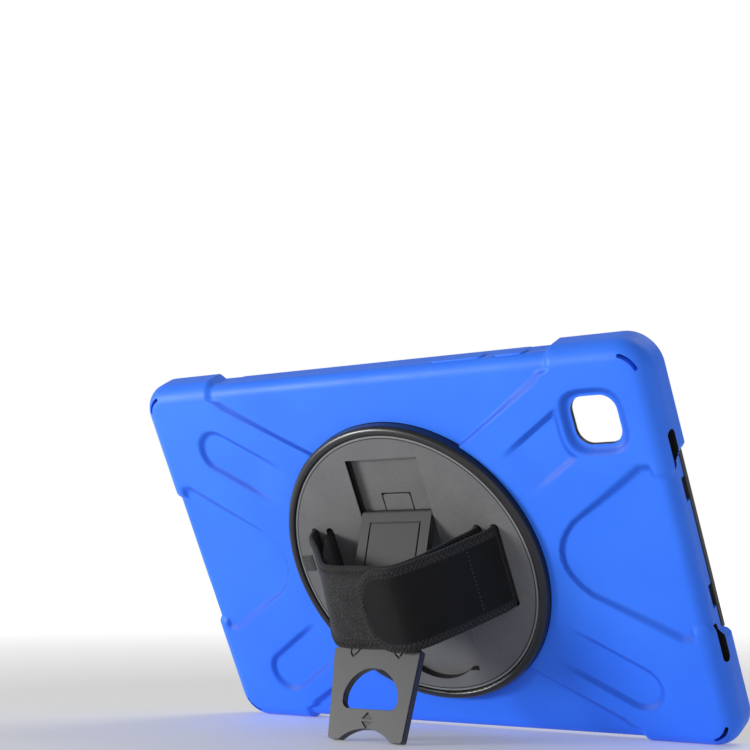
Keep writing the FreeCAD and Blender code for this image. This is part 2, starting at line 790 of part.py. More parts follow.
def disc_back_cover():
    """The disc's underside. Its rim runs under the collar, and its rails carry the stand's pin."""
    plate = rod("cover_round", cover_radius, (0, s.disc_centre, cover_low), s.cover_thickness)
    rails = []
    rail_top = pin_level - s.pin_radius - 0.1
    for side in both_sides:
        start, stop = sorted(((recess_half + 0.3) * side, (recess_half + s.pin_overhang) * side), key=float)
        rails.append(block("pin_rail", (start, pin_deployed - s.pin_radius, disc_low - 0.1),
                           (stop, pin_stowed + s.pin_radius, rail_top)))
    solid = join("cover_solid", [plate, *rails])
    tools = [tongue_window("cover_tongue_hole", cover_low - 1, disc_low + 1, s.tongue_gap)]
    for turn in disc_screw_turns:
        x, y = on_circle(disc_screw_circle, turn)
        tools.append(rod("cover_hole", s.disc_screw_radius + 0.1, (x, y, cover_low - 1), s.cover_thickness + 2))
        tools.append(countersink("cover_sink", s.disc_screw_radius, (x, y, cover_low), 0.02))
    finish("disc_back_cover", cut("disc_back_cover_cut", solid, tools))


def disc_screws():
    screws = []
    for turn in disc_screw_turns:
        place = on_circle(disc_screw_circle, turn)
        screws.append(screw("disc", s.disc_screw_radius, place, cover_low, s.cover_thickness + 3.2))
    finish("disc_screws", gather("disc_screw_set", screws))


def lock_tongue():
    """The snap tongue in the recess floor, hinged at its lower end."""
    tongue = tongue_window("tongue_block", disc_low + 0.1, recess_low, 0)
    top = float(s.disc_centre + s.tongue_top) - 1e-4
    finish("lock_tongue", soften("tongue_round", tongue, 1.2, lambda edge: edge.BoundBox.YMin > top
                                 and abs(edge.tangentAt(edge.FirstParameter).z) > 0.9))


# ---------------------------------------------------------------- kickstand


def stand_pin():
    half = recess_half + s.pin_overhang
    bar = rod("pin_rod", s.pin_radius, (-half, pin_deployed, pin_level), half * 2, axis="x")
    finish("stand_pin", gather("pin_set", [bar]))


def leg_groove_steps(inset):
    """The decorative line on the leg, moved inwards by an inset. x is across, y along the leg. Its
    lower end has a pointed fang at each side with an arch between them."""
    side = s.leg_width / 2 - s.groove_inset - inset
    tip = s.leg_width / 2 - s.groove_inset - 1.6
    root = tip - 6 + inset * 0.36
    top = s.groove_top + inset
    fang = s.leg_reach - s.fang_offset - inset * 1.6
    return [(-side, top), (side, top), (side, fang - 1.8 + inset), (tip, fang),
            (tip - 2 + inset * 0.53, fang - 1.6 + inset * 0.94), (root, fang - 6.2 + inset * 0.53),
            (-root, fang - 6.2 + inset * 0.53, (0, fang - 9 + inset * 0.6)),
            (2 - tip - inset * 0.53, fang - 1.6 + inset * 0.94), (-tip, fang), (-side, fang - 1.8 + inset)]


def arrow_steps(base, rise):
    return [(-2.8, base), (2.8, base), (0, base + rise)]


def kickstand_leg():
    """The leg, drawn flat with its pin at the origin and y towards the foot, then swung out."""
    half = s.leg_width / 2
    thick = s.leg_thickness / 2
    end = s.leg_reach
    toe = s.foot_toe
    foot = leg_foot
    shoulder = s.leg_shoulder
    steps = [(-half, 0), (-half, shoulder), (-leg_wide, shoulder + 2.4), (-foot, end - 1.5),
             (1.5 - foot, end, (0.44 - foot, end - 0.44)), (toe - foot, end),
             (foot - toe, end, (0, end - s.foot_arch)), (foot - 1.5, end),
             (foot, end - 1.5, (foot - 0.44, end - 0.44)), (leg_wide, shoulder + 2.4), (half, shoulder), (half, 0)]
    blade = prism("leg_blade", steps, -thick, thick)
    head = rod("leg_head", thick, (-half, 0, 0), s.leg_width, axis="x")
    solid = join("leg_solid", [blade, head])
    flat = end - s.finger_hole_offset
    top = flat - s.finger_hole_height
    wide = s.finger_hole_width / 2
    bend = s.finger_hole_corner
    inset = bend * (1 - math.sqrt(0.5))
    hole = [(wide, flat - bend), (wide - bend, flat, (wide - inset, flat - inset)), (bend - wide, flat),
            (-wide, flat - bend, (inset - wide, flat - inset)), (-wide, flat - 6), (wide, flat - 6, (0, top))]
    bore = rod("leg_bore", s.pin_radius + s.pin_clearance, (-half - 1, 0, 0), s.leg_width + 2, axis="x")
    face = thick - s.groove_depth
    ring = cut("leg_groove", prism("groove_outer", leg_groove_steps(size_of(0)), face, thick + 1),
               [prism("groove_inner", leg_groove_steps(s.groove_width), face - 1, thick + 2)])
    arrow_up = prism("arrow_up", arrow_steps(flat + 4.0, -2.8), face, thick + 1)
    arrow_down = prism("arrow_down", arrow_steps(flat + 5.2, 2.8), face, thick + 1)
    tools = [prism("finger_hole", hole, -thick - 1, thick + 1), bore, ring, arrow_up, arrow_down]
    flat_leg = cut("leg_flat", solid, tools)
    # y of the flat leg turns to point down the case, then the leg swings out by its open angle.
    swing = Rotation(Vector(1, 0, 0), -float(s.leg_angle)) * Rotation(Vector(0, 0, 1), 180)
    flat_leg.Placement = Placement(Vector(), swing)
    put(flat_leg, 0, pin_deployed, pin_level)
    finish("kickstand_leg", gather("leg_swung", [flat_leg]))


# ---------------------------------------------------------------- hand strap


def strap_points():
    """The middle line of the band across the disc, from the left bar to the right bar."""
    rise = float(s.strap_rise)
    face = float(disc_high)
    inner, outer = float(s.slot_inner), float(s.slot_outer)
    return [(-outer, face), (-outer + 1.4, face + 0.12 * rise), (-outer + 5.6, face + 0.33 * rise),
            (-36.4, face + 0.565 * rise), (-28.6, face + 0.8 * rise), (-19.2, face + 0.978 * rise),
            (-8.0, face + rise), (8.0, face + rise), (19.0, face + 0.98 * rise), (27.2, face + 0.835 * rise),
            (33.3, face + 0.6 * rise), (37.4, face + 0.33 * rise), (inner, face + 0.1 * rise), (inner, face - 0.45)]


def band(name, points, inner, outer, half_width, middle=0.0):
    """A strip between two offsets of a smooth line through points in the x-z plane. The
    middle is how far up from the disc's centre its width is centred."""
    start = float(s.disc_centre) + middle - half_width
    line = Part.BSplineCurve()
    line.interpolate([Vector(x, start, z) for x, z in points])
    first, last = line.FirstParameter, line.LastParameter
    places = [first + (last - first) * step / 40 for step in range(41)]
    sides = []
    for offset in (inner, outer):
        row = []
        for place in places:
            along = Vector(*line.tangent(place)[0])
            row.append(line.value(place) + Vector(-along.z, 0, along.x) * offset)
        side = Part.BSplineCurve()
        side.interpolate(row)
        sides.append(side)
    ends = [Part.LineSegment(sides[0].EndPoint, sides[1].EndPoint),
            Part.LineSegment(sides[1].StartPoint, sides[0].StartPoint)]
    wire = Part.Wire(Part.__sortEdges__([edge.toShape() for edge in (*sides, *ends)]))
    thing = doc.addObject("Part::Feature", name)
    thing.Shape = Part.Face(wire).extrude(Vector(0, 2 * half_width, 0))
    return thing


def bar_turn(sign):
    """The middle line of the band where it dips under a bar, from the inner to the outer slot."""
    inner, outer = sign * float(s.slot_inner), sign * float(s.slot_outer)
    low = float(disc_high - s.bar_depth - s.strap_thickness / 2) - 0.25
    top = float(disc_high) - 0.65
    return [(inner, top), (inner, low + 1.9), (inner + sign * 0.5, low + 0.6), (inner + sign * 1.9, low),
            ((inner + outer) / 2, low), (outer - sign * 1.9, low), (outer - sign * 0.5, low + 0.6),
            (outer, low + 1.9), (outer, top)]


def strap_base():
    thick = float(s.strap_thickness) / 2
    half = float(s.strap_width) / 2
    core = band("strap_core", strap_points(), -thick, thick, half - float(s.binding_width))
    finish("strap_base", core)
    edges = []
    wide = float(s.binding_width)
    extra = thick + float(s.binding_extra) / 2
    for side in both_sides:
        edges.append(band("strap_edge", strap_points(), -extra, extra, wide / 2, side * (half - wide / 2)))
    finish("strap_bindings", gather("strap_binding_pair", edges))


def strap_loops():
    """The plain webbing that goes round each bar, with the left one's sewn end."""
    thick = float(s.strap_thickness) / 2
    half = float(s.strap_width) / 2 - 0.6
    for label, sign in (("strap_loop_left", -1), ("strap_loop_right", 1)):
        finish(label, band(label + "_band", bar_turn(sign), -thick, thick, half))
    face = float(disc_high)
    inner = -float(s.slot_inner)
    rise = float(s.strap_rise)
    end = [(inner, face - 0.45), (inner + 0.2, face + 0.11 * rise), (inner + 1.6, face + 0.31 * rise),
           (-34.0, face + 0.53 * rise), (-29.2, face + 0.7 * rise), (-24.6, face + 0.8 * rise)]
    finish("strap_sewn_end", band("sewn_end_band", end, -thick, thick * 0.6, half))


def flap_points():
    """The middle line of the flap, outside the band on the right-hand side. It runs from the bar
    inwards, so an offset to its outer face is negative."""
    rise = float(s.strap_rise)
    face = float(disc_high)
    outer = float(s.slot_outer)
    lift = float(s.strap_thickness + s.flap_gap + s.hook_thickness)
    return [(outer, face + 1.3), (outer - 1.2, face + 0.13 * rise), (outer - 4.6, face + 0.33 * rise),
            (38.6, face + 0.565 * rise), (30.0, face + 0.86 * rise), (19.9, face + 0.98 * rise + lift + 0.15),
            (8.0, face + rise + lift + 0.15), (0.0, face + rise + lift + 0.1)]


def flap_plan(name, inset, low_x=0.4):
    """The flap's plan, with a broad round end, as a tall block to trim the bands with."""
    half = s.strap_width / 2 - inset
    bend = s.strap_width * 0.35
    corner_x = low_x + inset + bend * 0.28
    corner_y = half - bend * 0.32
    steps = [(low_x + inset, s.disc_centre - half + bend),
             (low_x + bend, s.disc_centre - half, (corner_x, s.disc_centre - corner_y)),
             (60, s.disc_centre - half), (60, s.disc_centre + half), (low_x + bend, s.disc_centre + half),
             (low_x + inset, s.disc_centre + half - bend, (corner_x, s.disc_centre + corner_y))]
    return prism(name, steps, disc_high - 2, disc_high + 60)


def strap_flap():
    thick = float(s.strap_thickness) / 2
    half = float(s.strap_width) / 2
    extra = thick + float(s.binding_extra) / 2
    inside = flap_plan("flap_inside", s.binding_width)
    core = overlap("flap_core", band("flap_band", flap_points(), -thick, thick, half), inside)
    finish("strap_flap", core)
    rim_plan = cut("flap_rim_plan", flap_plan("flap_outside", size_of(0)), [flap_plan("flap_hollow", s.binding_width)])
    rim = overlap("flap_rim", band("rim_band", flap_points(), -extra, thick, half), rim_plan)
    finish("flap_binding", rim)
    hook = band("hook_band", flap_points(), thick, thick + float(s.hook_thickness), half)
    patch = block("hook_plan", (4.6, s.disc_centre - s.strap_width / 2 + s.binding_width + 1, disc_high + 20),
                  (27, s.disc_centre + s.strap_width / 2 - s.binding_width - 1, disc_high + 60))
    finish("hook_patch", overlap("hook_cut", hook, patch))
    facing = band("facing_band", flap_points(), -thick - float(s.facing_thickness), -thick, half)
    facing_plan = flap_plan("facing_inside", s.binding_width + 0.1)
    short = block("facing_stop", (-10, s.disc_centre - s.strap_width, disc_high + 3),
                  (60, s.disc_centre + s.strap_width, disc_high + 70))
    finish("flap_facing", overlap("facing_cut", facing, overlap("facing_plan", facing_plan, short)))


def strap_tab():
    """A small folded tab sewn to the band's left edge."""
    face = float(disc_high)
    line = [(-46.0, face + 9.7), (-47.6, face + 10.4), (-50.0, face + 10.7)]
    finish("strap_tab", band("tab_band", line, -0.5, 0.5, 4.0, middle=7.0))


# ---------------------------------------------------------------- the lean


def lowest_edge(lean):
    """How far the case's lower rear edge reaches below the case's origin."""
    radius = float(s.skin_rear_radius)
    along = float(bumper_y) - radius
    depth = float(skin_rear) - radius
    return along * math.cos(lean) + depth * math.sin(lean) + radius


def lowest_foot(lean):
    """How far the stand's foot reaches below the case's origin."""
    swing = math.radians(float(s.leg_angle))
    reach = float(s.leg_reach)
    lows = []
    for side in both_sides:
        thick = side * float(s.leg_thickness) / 2
        down = reach * math.cos(swing) - thick * math.sin(swing) - float(pin_deployed)
        out = reach * math.sin(swing) + thick * math.cos(swing) + float(pin_level)
        lows.append(down * math.cos(lean) + out * math.sin(lean))
    return max(lows)


def lean_on_table():
    """The lean, in degrees, at which the lower edge and the foot touch the table together."""
    low, high = 0.0, math.radians(60)
    while high - low > 1e-9:
        middle = (low + high) / 2
        if lowest_foot(middle) < lowest_edge(middle):
            low = middle
        else:
            high = middle
    return math.degrees(low)


def stand_on_table():
    """Lean every piece, then put the origin under the middle of the whole case."""
    set_cell("lean_angle", lean_on_table())
    doc.recompute()
    whole = FreeCAD.BoundBox()
    for piece in pieces:
        whole.add(piece.Shape.optimalBoundingBox(False, False))
    set_cell("table_y", -whole.Center.y)
    set_cell("table_z", -whole.ZMin)
    doc.recompute()
    print("size", round(whole.XLength, 2), round(whole.YLength, 2), round(whole.ZLength, 2))


def set_cell(alias, number):
    sheet.set(sheet.getCellFromAlias(alias), repr(float(number)))
    setattr(s, alias, Size(float(number), f"Sheet.{alias}"))


front_frame()
back_shell()
silicone_skin()
swivel_collar()
collar_screws()
button("power_button", s.power_from, s.power_to)
button("volume_rocker", s.volume_from, s.volume_to)
disc_plate()
disc_back_cover()
disc_screws()
lock_tongue()
stand_pin()
kickstand_leg()
strap_base()
strap_loops()
strap_flap()
strap_tab()
stand_on_table()

for thing in doc.Objects:
    if "Invalid" in thing.State or "Error" in thing.State:
        raise RuntimeError(f"{thing.Name} did not build")
for piece in pieces:
    if piece.Shape.isNull() or not piece.Shape.isValid():
        raise RuntimeError(f"{piece.Label} has no valid shape")

os.makedirs("parts", exist_ok=True)
for piece in pieces:
    piece.Shape.exportStep(f"parts/{piece.Label}.step")
    print(piece.Label, len(piece.Shape.Solids), round(piece.Shape.Volume, 1))
print("lean", round(float(s.lean_angle), 3), "offset", round(float(s.table_y), 3), round(float(s.table_z), 3))
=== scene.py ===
import json
import math

import bmesh
import bpy
import numpy as np
from mathutils import Matrix


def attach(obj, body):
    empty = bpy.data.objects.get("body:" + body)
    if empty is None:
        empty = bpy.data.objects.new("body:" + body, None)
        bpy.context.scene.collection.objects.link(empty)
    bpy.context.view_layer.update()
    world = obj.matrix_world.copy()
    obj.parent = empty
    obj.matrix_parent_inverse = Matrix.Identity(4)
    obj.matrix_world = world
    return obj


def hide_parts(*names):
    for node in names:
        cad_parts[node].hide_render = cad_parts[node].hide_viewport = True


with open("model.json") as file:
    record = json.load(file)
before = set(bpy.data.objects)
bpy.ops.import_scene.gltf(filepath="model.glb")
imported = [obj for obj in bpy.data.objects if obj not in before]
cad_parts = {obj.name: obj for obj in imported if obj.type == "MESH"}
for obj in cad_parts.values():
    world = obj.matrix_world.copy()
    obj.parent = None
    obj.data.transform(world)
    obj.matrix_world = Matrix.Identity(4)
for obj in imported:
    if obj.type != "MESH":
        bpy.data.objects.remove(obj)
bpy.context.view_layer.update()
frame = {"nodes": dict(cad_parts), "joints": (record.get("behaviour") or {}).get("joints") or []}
print("frame loaded:", len(frame["nodes"]), "nodes")

# the case's own frame, in millimetres: x along it, y up its back, z out of its back

discJoint = next(joint for joint in frame["joints"] if joint["name"] == "disc_turn")
lean = math.atan2(-discJoint["axis"][2], -discJoint["axis"][1])
turn = np.array([[1, 0, 0],
                 [0, -math.sin(lean), -math.cos(lean)],
                 [0, math.cos(lean), -math.sin(lean)]])
disc = {"y": -2.5, "rear": 18.5}  # the disc's centre up the back, and its outer face
origin = np.array(discJoint["pos_m"]) * 1000 - turn @ (0, disc["y"], disc["rear"])


def toWorld(points):
    # leans points of the case's frame with the case, and turns millimetres into metres
    return (np.asarray(points, float) @ turn.T + origin) / 1000


def nodeBox(name):
    # a node's lowest and highest corner in the case's frame
    mesh = frame["nodes"][name].data
    flat = np.empty(len(mesh.vertices) * 3)
    mesh.vertices.foreach_get("co", flat)
    local = (flat.reshape(-1, 3) * 1000 - origin) @ turn
    return local.min(0), local.max(0)


skinLow, skinHigh = nodeBox("silicone_skin")
shellLow, shellHigh = nodeBox("back_shell")
frameHigh = nodeBox("front_frame")[1]
bandHigh = nodeBox("strap_base")[1]
tongueHigh = nodeBox("lock_tongue")[1]
disc["floor"] = float(tongueHigh[2])
foldJoint = next(joint for joint in frame["joints"] if joint["name"] == "stand_fold")
legAngle = math.radians(foldJoint["range_deg"][1])
legPin = turn.T @ (np.array(foldJoint["pos_m"]) * 1000 - origin)
legOut = np.array([0, math.sin(legAngle), math.cos(legAngle)])
pinToFront = 1.8  # from the pin's axis to the leg's front face

# shader helpers


class Wire:
    # one output of a node; sums and products of wires become Math nodes
    def __init__(self, paint, socket):
        self.paint, self.socket = paint, socket

    def math(self, operation, first, second):
        return self.paint.add("ShaderNodeMath", {"operation": operation}, {0: first, 1: second})

    def __add__(self, other):
        return self.math("ADD", self, other)

    def __sub__(self, other):
        return self.math("SUBTRACT", self, other)

    def __rsub__(self, other):
        return self.math("SUBTRACT", other, self)

    def __mul__(self, other):
        return self.math("MULTIPLY", self, other)

    def __gt__(self, other):
        return self.math("GREATER_THAN", self, other)

    def __lt__(self, other):
        return self.math("LESS_THAN", self, other)

    def __abs__(self):
        return self.math("ABSOLUTE", self, 0)

    __radd__ = __add__
    __rmul__ = __mul__


class Paint:
    # a material while it is being made
    def __init__(self, name, **sockets):
        self.material = bpy.data.materials.new(name)
        self.material.use_nodes = True
        self.tree = self.material.node_tree
        self.shader = self.tree.nodes["Principled BSDF"]
        for socket, value in sockets.items():
            self.shader.inputs[socket.replace("_", " ")].default_value = value

    def add(self, kind, settings=None, inputs=None, out=0):
        # a node of any kind, its settings first and then the values or wires of its sockets
        node = self.tree.nodes.new(kind)
        for key, value in (settings or {}).items():
            if key == "stops":
                while len(node.color_ramp.elements) < len(value):
                    node.color_ramp.elements.new(0.5)
                for element, (place, shade) in zip(node.color_ramp.elements, value):
                    element.position = place
                    element.color = shade
            else:
                setattr(node, key, value)
        for key, value in (inputs or {}).items():
            if isinstance(value, Wire):
                self.tree.links.new(value.socket, node.inputs[key])
            else:
                node.inputs[key].default_value = value
        return Wire(self, node.outputs[out])

    def place(self):
        return self.add("ShaderNodeTexCoord", out="Object")

    def level(self, direction, start):
        # how far, in millimetres, a place lies along a direction of the case's frame beyond a start point
        along = turn @ np.array(direction, float)
        reach = self.add("ShaderNodeVectorMath", {"operation": "DOT_PRODUCT"},
                         {0: self.place(), 1: tuple(along * 1000)}, out="Value")
        return reach - float(along @ (toWorld(start) * 1000))

    def between(self, value, low, high, blur):
        # 1 where a value lies between two bounds
        rise = self.spread(value, (low - blur, low + blur), (0, 1))
        return rise * self.spread(value, (high - blur, high + blur), (1, 0))

    def noise(self, scale, detail=2.0, place=None, rough=0.5):
        return self.add("ShaderNodeTexNoise", {},
                        {"Vector": place or self.place(), "Scale": scale, "Detail": detail,
                         "Roughness": rough})

    def cells(self, scale, place):
        return self.add("ShaderNodeTexVoronoi", {}, {"Vector": place, "Scale": scale})

    def spread(self, value, before, after):
        # a value stretched from one pair of bounds onto another, and held inside them
        return self.add("ShaderNodeMapRange", {},
                        {"Value": value, "From Min": before[0], "From Max": before[1],
                         "To Min": after[0], "To Max": after[1]})

    def blendColour(self, factor, first, second):
        return self.add("ShaderNodeMix", {"data_type": "RGBA"}, {0: factor, 6: first, 7: second}, out=2)

    def finish(self, colour=None, roughness=None, height=None, depth=0.0001, strength=1.0, edge=0.0):
        # edge is a radius in metres by which the shading rounds the piece's hard edges
        for socket, wire in (("Base Color", colour), ("Roughness", roughness)):
            if wire is not None:
                self.tree.links.new(wire.socket, self.shader.inputs[socket])
        normal = None
        if edge:
            normal = self.add("ShaderNodeBevel", {"samples": 6}, {"Radius": edge})
        if height is not None:
            inputs = {"Height": height, "Strength": strength, "Distance": depth}
            if normal is not None:
                inputs["Normal"] = normal
            normal = self.add("ShaderNodeBump", {}, inputs)
        if normal is not None:
            self.tree.links.new(normal.socket, self.shader.inputs["Normal"])
        return self.material


def grey(level, tint=(1, 1, 1)):
    return (level * tint[0], level * tint[1], level * tint[2], 1)


# finishes

# the last two entries are painted shade: a deeper blue for the relief's slopes, and how strongly it is
# painted
blue = {"body": (0.036, 0.200, 0.97, 1), "shade": (0.028, 0.175, 0.93, 1), "roughness": 0.5,
        "slope": (0.004, 0.085, 0.60, 1), "slopeShading": 0.8}
# what is cut through the skin's sides: level is the height of all ports, and each speaker's slot runs from
# start to stop up the back, on both sides of the middle
ports = {"level": 8.9, "gap": 0.2, "start": 34.0, "stop": 50.0, "rise": 2.2, "round": 2.1}


def blueSilicone():
    paint = Paint("blueSilicone", Roughness=blue["roughness"], Specular_IOR_Level=0.3, Sheen_Weight=0.05,
                  Sheen_Roughness=0.4)
    cloud = paint.noise(26.0, 3)
    colour = paint.blendColour(paint.spread(cloud, (0.3, 0.7), (0, 1)), blue["body"], blue["shade"])
    # painted shade: the relief's slopes are painted a deeper blue where they gather less light, and the
    # insides of the speakers' slots are painted nearly black
    ribbon = paint.add("ShaderNodeUVMap", {"uv_map": "ribbon"})
    steep = paint.add("ShaderNodeSeparateXYZ", {}, {0: ribbon}, out="Y")
    colour = paint.blendColour(paint.spread(steep, (0.05, 1), (0, blue["slopeShading"])), colour, blue["slope"])
    # painted shade: the insides of the speakers' slots, found by their place on the case, are painted nearly
    # black
    mask = {"middle": 42, "reach": 6.1, "radius": 2.258, "beyond": 124}
    height = paint.level((0, 0, 1), (0, 0, ports["level"]))
    past = abs(abs(paint.level((0, 1, 0), (0, 0, 0))) - mask["middle"]) - mask["reach"]
    past = past.math("MAXIMUM", past, 0)
    atEnds = abs(paint.level((1, 0, 0), (0, 0, 0))) > mask["beyond"]
    slotShade = (height * height + past * past < mask["radius"] ** 2) * atEnds
    colour = paint.blendColour(slotShade, colour, grey(0.008))
    fine = paint.noise(5200.0, 2)
    smear = paint.noise(70.0, 4)
    roughness = paint.spread(smear + fine * 0.15, (0.35, 0.8),
                             (blue["roughness"] - 0.05, blue["roughness"] + 0.07))
    return paint.finish(colour, roughness, fine + paint.noise(900.0, 2) * 0.5, depth=0.00003, strength=0.35)


def sparkPlastic(name, level, roughness, grain, speckle, depth=0.00006, tint=(1, 1, 1), coat=0.0):
    # a moulding with a spark-eroded grain: fine bumps, and specks slightly lighter and darker
    paint = Paint(name, Roughness=roughness, Coat_Weight=coat, Coat_Roughness=0.25, Specular_IOR_Level=0.45)
    fine = paint.noise(grain, 3, rough=0.6)
    blotch = paint.noise(60.0, 3)
    mask = paint.spread(fine * 0.75 + blotch * 0.25, (0.38, 0.62), (0, 1))
    colour = paint.blendColour(mask, grey(level * (1 - speckle), tint), grey(level * (1 + speckle), tint))
    rough = paint.spread(fine + blotch * 0.4, (0.45, 0.95), (roughness - 0.06, roughness + 0.08))
    return paint.finish(colour, rough, fine, depth=depth, strength=0.5, edge=0.0003)


def mouldedDisc():
    # the disc's grained face; the walls of its recess and slots are painted darker as shade, a fine dark gap
    # runs inside its rim, and the rim is painted pale as a highlight
    # the wall tone is painted shade on the walls of the recess and slots, and also darkens the gap; the rim
    # tone is a painted highlight
    look = {"level": 0.135, "wall": 0.012, "rim": 0.22, "roughness": 0.56,
            "gapFrom": 60.6, "highlightFrom": 61.1, "highlightTo": 63}
    paint = Paint("discPlastic", Roughness=look["roughness"], Specular_IOR_Level=0.4)
    fine, blotch = paint.noise(2300.0, 3, rough=0.6), paint.noise(60.0, 3)
    mask = paint.spread(fine * 0.75 + blotch * 0.25, (0.38, 0.62), (0, 1))
    face = paint.blendColour(mask, grey(look["level"] * 0.84), grey(look["level"] * 1.16))
    centre = (0, disc["y"], disc["rear"])
    x, y = paint.level((1, 0, 0), centre), paint.level((0, 1, 0), centre)
    reach = x.math("SQRT", x * x + y * y, 0)
    # painted highlight: a pale band along the rim, just outside the gap
    atHighlight = paint.between(reach, look["highlightFrom"], look["highlightTo"], 0.12)
    highlighted = paint.blendColour(atHighlight, face, grey(look["rim"]))
    gap = paint.between(reach, look["gapFrom"], look["highlightFrom"], 0.08)
    # painted shade: the walls between the recess's floor and the face are painted dark
    depth = paint.level((0, 0, 1), centre)
    wall = paint.between(depth, disc["floor"] - disc["rear"] + 0.3, -0.25, 0.12)
    colour = paint.blendColour(gap.math("MAXIMUM", gap, wall), highlighted, grey(look["wall"]))
    return paint.finish(colour, None, fine - gap * 2, depth=0.0001, strength=0.5, edge=0.00025)


def mouldedLeg():
    # the leg's fine grain; the floors of its engraved line and arrows are painted nearly black as shade
    look = {"level": 0.046, "engravingShade": 0.006, "roughness": 0.44}
    paint = Paint("legPlastic", Roughness=look["roughness"], Specular_IOR_Level=0.4)
    fine, blotch = paint.noise(2900.0, 3, rough=0.6), paint.noise(60.0, 3)
    mask = paint.spread(fine * 0.75 + blotch * 0.25, (0.38, 0.62), (0, 1))
    face = paint.blendColour(mask, grey(look["level"] * 0.9), grey(look["level"] * 1.1))
    # painted shade: nearly black where the surface lies below the leg's front face, on the engravings' floors
    depth = paint.level(legOut, legPin + pinToFront * legOut)
    engravingShade = paint.between(depth, -0.75, -0.25, 0.1)
    return paint.finish(paint.blendColour(engravingShade, face, grey(look["engravingShade"])), None, fine, depth=0.00004,
                        strength=0.5, edge=0.0003)


def screwSteel():
    paint = Paint("screwSteel", Metallic=1.0, Roughness=0.3)
    brushed = paint.add("ShaderNodeMapping", {}, {"Vector": paint.place(), "Scale": (1, 1, 14)})
    streak = paint.noise(900.0, 3, brushed)
    colour = paint.blendColour(streak, grey(0.42), grey(0.62))
    rough = paint.spread(streak, (0.3, 0.7), (0.24, 0.4))
    return paint.finish(colour, rough, streak, depth=0.00002, edge=0.0002)


def clothPlace(paint):
    # the ribbon's own length and width, in metres
    return paint.add("ShaderNodeUVMap", {"uv_map": "ribbon"})


def loopKnit():
    # brushed loops: a close pile of little curls with paler fibres between
    paint = Paint("loopKnit", Roughness=0.92, Sheen_Weight=0.12, Sheen_Roughness=0.45,
                  Specular_IOR_Level=0.2)
    flat = clothPlace(paint)
    warp = paint.add("ShaderNodeVectorMath", {"operation": "MULTIPLY_ADD"},
                     {0: paint.add("ShaderNodeTexNoise", {}, {"Vector": flat, "Scale": 700.0}, out="Color"),
                      1: (0.0012, 0.0012, 0), 2: flat})
    loops = paint.cells(1500.0, warp)
    fuzz = paint.noise(3800.0, 3, flat)
    patch = paint.noise(150.0, 3, flat)
    tone = paint.spread(loops * 0.5 + fuzz * 0.7 + patch * 0.25, (0.5, 1.0), (0, 1))
    colour = paint.blendColour(tone, grey(0.008), grey(0.05))
    return paint.finish(colour, None, (1 - loops) + fuzz * 0.8, depth=0.00016, strength=0.9)


def bindingWeave():
    # a folded tape: fine ribs across it and a soft nap
    paint = Paint("bindingWeave", Roughness=0.85, Sheen_Weight=0.1, Sheen_Roughness=0.4,
                  Specular_IOR_Level=0.25)
    flat = clothPlace(paint)
    ribs = paint.add("ShaderNodeTexWave", {"bands_direction": "DIAGONAL"},
                     {"Vector": flat, "Scale": 330.0, "Distortion": 1.2, "Detail": 1.0, "Detail Scale": 3.0})
    fuzz = paint.noise(2600.0, 3, flat)
    tone = paint.spread(ribs * 0.4 + fuzz * 0.6, (0.3, 0.75), (0, 1))
    colour = paint.blendColour(tone, grey(0.009), grey(0.034))
    return paint.finish(colour, None, ribs * 0.6 + fuzz * 0.7, depth=0.00012, strength=0.8)


def facingCloth():
    # a dense smooth tricot, nearly black
    paint = Paint("facingCloth", Roughness=0.8, Sheen_Weight=0.04, Sheen_Roughness=0.5,
                  Specular_IOR_Level=0.25)
    flat = clothPlace(paint)
    warpKnit = paint.add("ShaderNodeTexWave", {"bands_direction": "Y"},
                         {"Vector": flat, "Scale": 520.0, "Distortion": 0.4})
    fuzz = paint.noise(3000.0, 2, flat)
    patch = paint.noise(90.0, 2, flat)
    tone = warpKnit * 0.3 + fuzz * 0.4 + patch * 0.3
    colour = paint.blendColour(paint.spread(tone, (0.3, 0.7), (0, 1)), grey(0.0035), grey(0.0065))
    return paint.finish(colour, None, warpKnit * 0.5 + fuzz * 0.5, depth=0.00004, strength=0.6)


def hookTape():
    paint = Paint("hookTape", Roughness=0.6, Specular_IOR_Level=0.3)
    hooks = paint.cells(1100.0, clothPlace(paint))
    colour = paint.blendColour(paint.spread(hooks, (0.2, 0.7), (0, 1)), grey(0.02), grey(0.006))
    return paint.finish(colour, None, 1 - hooks, depth=0.0003)


def tabTape():
    paint = Paint("tabTape", Roughness=0.8, Sheen_Weight=0.2)
    flat = clothPlace(paint)
    cross = paint.add("ShaderNodeTexWave", {"bands_direction": "X"}, {"Vector": flat, "Scale": 300.0})
    down = paint.add("ShaderNodeTexWave", {"bands_direction": "Y"}, {"Vector": flat, "Scale": 300.0})
    colour = paint.blendColour(cross * down, grey(0.035), grey(0.085))
    return paint.finish(colour, None, cross * down + paint.noise(2000.0, 2, flat) * 0.4, depth=0.0001)


def thread(name, level):
    paint = Paint(name, Roughness=0.6, Sheen_Weight=0.3)
    twist = paint.noise(3500.0, 2)
    colour = paint.blendColour(twist, grey(level * 0.6), grey(level * 1.4))
    return paint.finish(colour, None, twist, depth=0.00005)


skinPaint = blueSilicone()
framePaint = sparkPlastic("framePlastic", 0.034, 0.5, 2600.0, speckle=0.2)
shellPaint = sparkPlastic("shellPlastic", 0.022, 0.55, 2600.0, speckle=0.2)
collarPaint = sparkPlastic("collarPlastic", 0.007, 0.33, 2200.0, speckle=0.25, depth=0.00002,
                           tint=(1, 1, 0.97), coat=0.3)
discPaint, legPaint = mouldedDisc(), mouldedLeg()
steelPaint = screwSteel()
knitPaint, bindingPaint, facingPaint = loopKnit(), bindingWeave(), facingCloth()
hookPaint, tabPaint = hookTape(), tabTape()
darkThread, paleThread = thread("darkThread", 0.006), thread("paleThread", 0.09)

